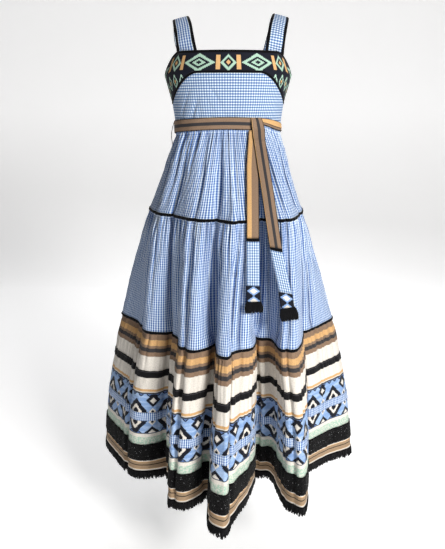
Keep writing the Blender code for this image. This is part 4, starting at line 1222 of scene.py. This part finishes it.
# %% Straps
# A row for each station of the right strap: its inner edge, its outer edge, how far both are moved to
# the right, and how much lower the left strap lies there
STRAP_STATIONS = np.array((
    (0.0885, -0.0950, -0.0580, 0.1320, -0.0700, -0.0640, 0.0052, 0.0010),
    (0.0960, -0.0660, -0.0210, 0.1380, -0.0540, -0.0300, 0.0055, 0.0035),
    (0.1040, -0.0300, 0.0010, 0.1430, -0.0260, -0.0085, 0.0060, 0.0055),
    (0.1085, 0.0040, 0.0048, 0.1450, 0.0040, -0.0045, 0.0060, 0.0055),
    (0.1060, 0.0380, -0.0085, 0.1440, 0.0350, -0.0160, 0.0045, 0.0040),
    (0.1000, 0.0660, -0.0460, 0.1410, 0.0580, -0.0520, 0.0020, 0.0010),
))
# Where the straps are sewn to the neckline: in front by columns of its half ring, and behind
# by degrees, the inner edge first
STRAP_FRONT = {"left": (6, 10), "right": (7, 11)}
HALF_COLUMNS = 28
STRAP_BACK = (134.0, 115.5)
STRAP_STEPS = 8
STRAP_CAMBER = 0.002
STRAP_WIDTH = 0.0405


def strap_seats(side, share):
    """Where a strap meets the neck trim in front and at the back."""
    hand = 1.0 if side == "right" else -1.0
    fronts = [column * 180.0 / HALF_COLUMNS for column in STRAP_FRONT[side]]
    column = min(int(share * 4), 3)
    seats = []
    for inner, outer in (fronts, STRAP_BACK):
        turns = hand * (inner + (outer - inner) * (column + np.array([0.0, 1.0])) / 4)
        corners = torso(turns, edge_line(z_neckline, TRIM_WIDTH)(turns))
        seats.append(corners[0] + (corners[1] - corners[0]) * (share * 4 - column))
    return seats


def strap_edges(side):
    lines = []
    for edge in (0, 1):
        first, last = strap_seats(side, edge)
        stations = STRAP_STATIONS[:, 3 * edge:3 * edge + 3].copy()
        if side == "left":
            stations[:, 0] *= -1.0
            stations[:, 2] -= STRAP_STATIONS[:, 7]
        stations[:, 0] += STRAP_STATIONS[:, 6]
        knots = np.vstack([first, stations, last])
        padded = np.vstack([2 * knots[0] - knots[1], knots, 2 * knots[-1] - knots[-2]])
        line = []
        for i in range(len(knots) - 1):
            p0, p1, p2, p3 = padded[i:i + 4]
            line.append(hermite(p1, (p2 - p0) / 2, p2, (p3 - p1) / 2, STRAP_STEPS))
        lines.append(np.vstack(line + [knots[-1:]]))
    return lines


def strap_net(side, low, high, out, columns, dome=0.0, relief=0.0):
    """Rows along a strap from share low to high across it, moved out square to it."""
    inner, outer = strap_edges(side)
    rows = []
    for k in range(len(inner)):
        before, after = max(k - 1, 0), min(k + 1, len(inner) - 1)
        along = (inner[after] + outer[after]) - (inner[before] + outer[before])
        away = np.cross(outer[k] - inner[k], along)
        away *= (1.0 if side == "right" else -1.0) / np.linalg.norm(away)
        shares = np.linspace(low, high, columns + 1)
        camber = 4 * shares * (1 - shares) * STRAP_CAMBER * min(1.0, k / 4, (len(inner) - 1 - k) / 4)
        lift = dome * np.sin(np.pi * np.linspace(0.0, 1.0, columns + 1)) ** 0.6
        wave = relief * np.sin(k * 0.55 + shares * 4.0) * np.sin(shares * math.pi)
        line = inner[k] + (outer[k] - inner[k]) * shares[:, None]
        if k in (0, len(inner) - 1):
            line = np.array([strap_seats(side, share)[0 if k == 0 else 1] for share in shares])
        rows.append(line + away * (out + camber + lift + wave)[:, None])
    return np.array(rows)


for side in ("left", "right"):
    grid = strap_net(side, 0.0, 1.0, 0.0, 14, relief=0.0005)
    run = arc(grid[:, 7])
    length = round(float(run[-1]), 3)
    flip = side == "left"
    strap = make_net(f"strap_{side}_cloth", grid,
                     places_apart(np.linspace(0.0, STRAP_WIDTH, 15), run[:, None]),
                     SKIRT_GINGHAM if side == "left" else BODICE_GINGHAM, 0.0012, flip=flip)
    sew_on(strap, f"strap_{side}")
    for edge, low, high in (("inner", -0.03, 0.135), ("outer", 0.845, 1.03)):
        grid = strap_net(side, low, high, 0.0003, 5, dome=0.0011)
        trim = make_net(f"strap_{side}_{edge}_velvet", grid, cut_places(grid, 0.006, length_of(grid[:, 2])),
                        VELVET, 0.0006, flip=flip)
        sew_on(trim, f"strap_{side}_trim_{edge}")
    print("strap", side, length, "m long")

# %% [markdown]
# ## The belt
# The belt lies round the waist over the seam between bodice and skirt. It is pinched where it runs into
# the knot at the right front. Its stripes run along it, so the finish reads how far down its width a
# point lies, and they squeeze together in the pinch as they do in the cloth.

# %% Belt round the waist
BELT_CLEAR = 0.0012
BELT_THICK = 0.0018


def belt_edges(degrees):
    """Upper and lower edge of the belt from its middle line: narrowed between the knot and the side."""
    turn = signed(degrees)
    free = 1.0 - ease(turn, 104.0, 150.0)
    upper = BELT_HEIGHT / 2 - 0.0080 * ease(turn, 42.0, 86.0) * free
    lower = -BELT_HEIGHT / 2 + 0.0150 * narrowing(degrees)
    return upper, lower


belt_turns = np.linspace(0.0, 360.0, 361) - 90.0
belt_shares = np.linspace(0.0, 1.0, 13)[:, None]
belt_upper, belt_lower = belt_edges(belt_turns)
belt_z = z_belt(belt_turns) + belt_upper * (1.0 - belt_shares) + belt_lower * belt_shares
pinched = ease(belt_turns, 8.0, 30.0) * (1.0 - ease(belt_turns, 70.0, 110.0))
belt_wave = 0.0009 * pinched * np.cos(belt_shares * 14.0) + 0.0004 * np.sin(np.radians(belt_turns * 7.0))
belt_wave = belt_wave + 0.0004 * np.sin(np.radians(belt_turns * 17.0) + 3.0 * belt_shares)
belt_round = 0.0007 * (1.0 - (2.0 * belt_shares - 1.0) ** 4)
belt_grid = torso(np.broadcast_to(belt_turns, belt_z.shape), belt_z, BELT_CLEAR + BELT_THICK - 0.0004
                  + belt_wave + belt_round)
belt_run = arc(belt_grid[6])
TURNED_STRIPES = ((0.0, LINE_BLACK), (0.04, TAN), (0.60, LINE_BLACK), (0.67, TAUPE), (0.92, LINE_BLACK))
turned_start, turned_end = (float(np.interp(turn, belt_turns, belt_run)) for turn in (31.0, 128.0))
BELTING = belting_finish("belting", BELT_STRIPES, BELT_HEIGHT, (turned_start, turned_end, TURNED_STRIPES))
belt_places = places_apart(belt_run, belt_shares * BELT_HEIGHT)
belt = sew_on(make_net("belt_wrap_cloth", belt_grid, belt_places, BELTING, 0.0016), "belt_wrap")

# %% [markdown]
# ## Belt ends
# The two ends hang from the knot over the folds of the skirt, the right one a little in front of the
# left. Each is sewn from a striped strip, a velvet trim, a length of bright gingham and a patterned
# tab, and ends in a brush of yarn. A strip lies on the foremost folds that it crosses, so its depth is
# read from the skirt's rings, and near the top from the belt.

# %% Belt end form
# The middle line of each end: height and how far to the right
BELT_END_LINES = {
    "left": np.array(((-0.703, 0.0617), (-0.636, 0.0590), (-0.525, 0.0581), (-0.360, 0.0590),
                      (-0.2746, 0.0640))),
    "right": np.array(((-0.730, 0.1500), (-0.650, 0.1368), (-0.550, 0.1145), (-0.430, 0.0962),
                       (-0.350, 0.0840), (-0.275, 0.0730))),
}
GATHER_DEPTH = {"tier1": 0.0042, "tier2": 0.0050}
WAIST_LEVEL = -0.286
# Above this level the ends lie over the belt, at this turn of it
OVER_BELT, OVER_BELT_DEGREES = -0.283, 25.0
# The right end passes this much in front of the left one, where they are nearer than this to touching
PASS_DEPTH, PASS_REACH = 0.0036, 0.006


def skirt_front(x, z, half_width):
    """The foremost y of the skirt across a strip's width at this height."""
    tier, top, bottom = (TIER1, WAIST_LEVEL, Z_TIER1) if z > Z_TIER1 else (TIER2, Z_TIER1, Z_TIER2)
    down = min(max((z - top) / (bottom - top), 0.0), 1.0)
    ring = tier.top * (1.0 - down) + tier.bottom * down
    reach = math.sin(math.pi * down ** 0.55) if 0.0 < down < 1.0 else 0.0
    swell = tier.belly * math.sin(math.pi * down) + GATHER_DEPTH[tier.name] * reach
    ring = ring * (1.0 + swell / np.hypot(ring[:, 0], ring[:, 1]))[:, None]
    near = (np.abs(ring[:, 0] - x) < half_width) & (ring[:, 1] < 0)
    return float(ring[near, 1].min())


def end_middle(side, z):
    line = BELT_END_LINES[side]
    return float(np.interp(z, line[:, 0], line[:, 1]))


def end_depth(side, z, width):
    x = end_middle(side, z)
    y = min(skirt_front(x, z + step, width / 2 + 0.004) for step in (-0.012, 0.0, 0.012))
    if z > OVER_BELT:
        y = min(y, float(torso(OVER_BELT_DEGREES, z, BELT_CLEAR + BELT_THICK)[1]))
    if side == "right" and x - end_middle("left", z) < width + PASS_REACH:
        y = min(y, end_depth("left", z, width) - PASS_DEPTH)
    return y


def end_net(side, z_top, z_bottom, width, out, columns=8, camber=0.0008):
    """A strip of a belt end between two heights, a little rounded across."""
    count = max(1, round((z_top - z_bottom) / 0.030))
    knots = np.linspace(z_top, z_bottom, count + 1)
    depths = np.array([end_depth(side, z, width) for z in knots])
    fine = np.linspace(z_top, z_bottom, max(6, count * 5) + 1)
    y = np.interp(-fine, -knots, depths)
    y = np.convolve(np.pad(y, 2, mode="edge"), [0.1, 0.2, 0.4, 0.2, 0.1], mode="valid")
    x = np.array([end_middle(side, z) for z in fine])
    lean = np.gradient(x, fine)
    shares = np.linspace(-1.0, 1.0, columns + 1)
    across = np.stack([np.ones_like(lean), np.zeros_like(lean), lean], axis=-1)
    across /= np.linalg.norm(across, axis=1)[:, None]
    middle = np.stack([x, y - 0.0005 - 0.0022 - out, fine], axis=-1)
    gathered = 1.0 - (0.08 if side == "left" else 0.02) * (1.0 - ease(-fine, 0.275, 0.360))
    reach = gathered[:, None] * (shares * width / 2)[None, :]
    grid = middle[:, None, :] + across[:, None, :] * reach[:, :, None]
    sway = 0.0006 * np.sin(fine * 60.0 + (1.0 if side == "left" else 2.4))
    bulge = camber * (1.0 - shares ** 2)[None, :]
    grid[:, :, 1] -= bulge + sway[:, None] * shares[None, :] + sway[:, None] * 0.3
    return grid


for side in ("left", "right"):
    print("belt end", side, "lies", round(end_middle(side, -0.6), 3), "m to the right")

# %% [markdown]
# ## The pieces of the belt ends
# One table says how wide each piece is and where it starts. It ends where the next one starts, less the
# gap of a seam. A brush is yarns in three layers, fanned out a little as they hang.

# %% Belt end pieces
BELT_STRIP_WIDTH = 0.0305
STRIP_STRIPES = {
    "left": ((0.0, LINE_BLACK), (0.04, TAN), (0.40, TAUPE), (0.93, LINE_BLACK)),
    "right": ((0.0, LINE_BLACK), (0.04, TAN), (0.08, TAUPE), (0.42, CHARCOAL), (0.66, TAUPE),
              (0.95, LINE_BLACK)),
}
STRIP_FINISH = {side: belting_finish(f"belting_{side}_end", stripes, BELT_STRIP_WIDTH)
                for side, stripes in STRIP_STRIPES.items()}
END_PIECES = (
    ("strip", BELT_STRIP_WIDTH, "belt", {"left": -0.2746, "right": -0.2960}),
    ("trim", 0.0310, "velvet", {"left": -0.522, "right": -0.547}),
    ("gingham", 0.0310, "gingham", {"left": -0.528, "right": -0.553}),
    ("tab", 0.0345, "print", {"left": -0.634, "right": -0.653}),
    ("fringe", 0.0370, "yarn", {"left": -0.675, "right": -0.691}),
)
FRINGE_END = {"left": -0.7035, "right": -0.724}
END_CLOTH = {"trim": VELVET, "gingham": RIBBON_GINGHAM, "tab": TAB_PRINT}
BRUSH_ROW = 48


def brush_lines(side):
    top, low = END_PIECES[4][3][side], FRINGE_END[side]
    number = np.arange(3 * BRUSH_ROW)
    spread = ((number % BRUSH_ROW) + 0.5) / BRUSH_ROW * 2.0 - 1.0
    tilt = (0.16 if side == "right" else 0.03) * spread * 0.017
    layer = (number // BRUSH_ROW - 1.0) * 0.0017
    reach = low - top + 0.006 * uneven(number, 71)
    lean = end_middle(side, low) - end_middle(side, top)
    lines = []
    for station in np.linspace(0.0, 1.0, 5):
        x = end_middle(side, top) + spread * (0.0172 + 0.0050 * math.sin(2.4 * station))
        x = x + (uneven(number, 72) - 0.5) * 0.003 * station + lean * station
        y = end_depth(side, top, 0.037) - 0.0040 + layer - 0.0016 * math.sin(2.6 * station)
        lines.append(np.column_stack([x, y, top + reach * station + tilt + 0.003]))
    return np.stack(lines, axis=1)


for side in ("left", "right"):
    for k, (tag, width, slot, tops) in enumerate(END_PIECES[:-1]):
        z_top, z_bottom = tops[side], END_PIECES[k + 1][3][side] + SEAM_GAP
        over = 0.0008 if tag == "trim" else 0.0
        grid = end_net(side, z_top + over, z_bottom - over, width, 0.0004 + 1.6 * over, camber=0.0008 + over)
        run = arc(grid[:, 4])
        length = float(run[-1])
        if tag == "strip":
            places = places_apart(run[:, None], np.linspace(0.0, width, 9))
            material = STRIP_FINISH[side]
        else:
            places = cut_places(grid, width, length)
            material = END_CLOTH[tag]
        piece = make_net(f"belt_{side}_{tag}_cloth", grid, places, material, 0.0014)
        sew_on(piece, f"belt_{side}_{tag}")
    lines = brush_lines(side)
    thick = np.array([0.0009, 0.0012, 0.0013, 0.0012, 0.0007])
    sew_on(make_yarns(f"belt_{side}_brush", lines, thick, YARN), f"belt_{side}_fringe")
    print("belt end", side, "ends at", round(float(lines[:, -1, 2].min()), 3))

# %% [markdown]
# ## The knot
# The belt is tied flat: the right end comes over the belt from behind its upper edge, lies across it
# and drops in front, and the left end comes out from under it. So the knot shows as one more turn of
# the same striped strip, a little wider where it is folded. Its net starts behind the belt's upper edge
# and ends on the right strip's first rows, and the rows between are eased from one to the other.

# %% Knot
KNOT_DEGREES = 33.0
# Rows over the belt: how far out, how far up, how wide and how far to the right
KNOT_ROWS = (
    (-0.0010, 0.0140, 0.0266, 0.0030), (0.0028, 0.0168, 0.0274, 0.0030), (0.0062, 0.0130, 0.0286, 0.0036),
    (0.0082, 0.0040, 0.0308, 0.0052), (0.0097, -0.0060, 0.0326, 0.0068), (0.0112, -0.0130, 0.0330, 0.0078),
)


def smooth(rows, times):
    for _ in range(times):
        rows[1:-1] = (rows[:-2] + 2 * rows[1:-1] + rows[2:]) / 4
    return rows


def knot_net():
    """Rows of the strip over the belt, from behind its upper edge to the top of the right end."""
    level = float(z_belt(KNOT_DEGREES))
    run = torso(KNOT_DEGREES + 4.0, level) - torso(KNOT_DEGREES - 4.0, level)
    run /= np.linalg.norm(run)
    away = np.array([run[1], -run[0], 0.0])
    seat = torso(KNOT_DEGREES, level, BELT_CLEAR + BELT_THICK) - 0.0015 * run
    tops, next_tops = END_PIECES[0][3]["right"], END_PIECES[1][3]["right"] + SEAM_GAP
    strip = end_net("right", tops, next_tops, BELT_STRIP_WIDTH, 0.0008, columns=16)
    knots = []
    for out, up, width, aside in KNOT_ROWS:
        middle = seat + away * out + np.array([0.0, 0.0, up]) + run * aside
        across = run * (1.0 - 0.3 * (up < 0)) + np.array([0.30, 0.0, 0.0]) * (up < 0)
        across /= np.linalg.norm(across)
        knots.append(middle + across * (np.linspace(-0.5, 0.5, 17) * width)[:, None])
    knots = np.array(knots + list(strip[:4]))
    fine = np.linspace(0.0, len(knots) - 1.0, 37)
    low = np.minimum(fine.astype(int), len(knots) - 2)
    rows = smooth(knots[low] + (knots[low + 1] - knots[low]) * (fine - low)[:, None, None], 5)
    shares = np.linspace(-1.0, 1.0, 17)
    soft = np.sin(np.pi * np.linspace(0.0, 1.0, 37))[:, None]
    bow = soft * (-0.0010 * shares[None, :] ** 2 + 0.0005 * np.cos(shares[None, :] * 9.0))
    return rows + away * bow[:, :, None]


knot_grid = knot_net()
knot_run = arc(knot_grid[:, 8])
knot_places = places_apart(knot_run[:, None], np.linspace(0.0, BELT_STRIP_WIDTH, 17))
knot = make_net("belt_knot_cloth", knot_grid, knot_places, STRIP_FINISH["right"], 0.0014)
sew_on(knot, "belt_knot")

# %% [markdown]
# ## Belt carrier
# At the left side seam a loop of thread holds the belt. It is two thin strands laid side by side, from
# the bodice over the belt to the skirt.

# %% Thread carrier
# Where the loop bends on the bodice and over the belt: how far above the belt's middle and how far out
LOOP_BENDS = ((0.0230, 0.0013), (0.0165, 0.0072), (0.0060, 0.0118), (-0.0060, 0.0148), (-0.0160, 0.0162),
              (-0.0270, 0.0164))
loop_points = [torso(-100.0, z_belt(-100.0) + rise, out) for rise, out in LOOP_BENDS]
loop_points.append(TIER1.surface([0.001], [0.16], 0.0013)[0, 0])
loop_points = np.array(loop_points)
fine_loop = np.linspace(0.0, len(loop_points) - 1.0, 37)
loop_line = smooth(np.column_stack([np.interp(fine_loop, np.arange(len(loop_points)), loop_points[:, k])
                                    for k in range(3)]), 2)
strands = []
for shift in (0.0, math.pi):
    wind = fine_loop * 4.0 + shift
    twist = np.column_stack([np.cos(wind) * 0.0002, np.cos(wind) * 0.0005, np.sin(wind) * 0.0004])
    strands.append(loop_line + twist)
carrier = make_yarns("belt_carrier", np.array(strands), np.full(37, 0.0009), DARK_THREAD)
sew_on(carrier, "belt_loop")
print("carrier at the left side seam")

# %% [markdown]
# ## Ground
# The ground is one pale sheet that curves up into a wall behind the dress, so that no horizon line
# crosses the picture. It lies where the floor would be under a wearer, well below the hem. It glows a
# little, because the light of the surroundings is dim.

# %% Ground
FLOOR_Z = -1.44
SWEEP_START, SWEEP_RADIUS, WALL_TOP = 2.6, 1.2, 4.0


def make_ground():
    paper = Finish("pale_paper", 0.9)
    paper.shader.inputs["Emission Color"].default_value = (1.0, 1.0, 1.0, 1.0)
    paper.shader.inputs["Emission Strength"].default_value = 0.36
    paper.paint(paper.blend(paper.noise(3.0), (0.93, 0.93, 0.94), (0.90, 0.90, 0.91)))
    profile = [(-4.0, FLOOR_Z), (SWEEP_START, FLOOR_Z)]
    for turn in np.linspace(0.0, math.pi / 2, 13):
        profile.append((SWEEP_START + SWEEP_RADIUS * math.sin(turn),
                        FLOOR_Z + SWEEP_RADIUS * (1.0 - math.cos(turn))))
    profile.append((SWEEP_START + SWEEP_RADIUS, WALL_TOP))
    grid = np.array([[(x, y, z) for x in (-5.0, 0.0, 5.0)] for y, z in profile])
    make_net("ground", grid, grid[:, :, [0, 2]], paper.material, flip=True)


make_ground()
print("ground at", FLOOR_Z)
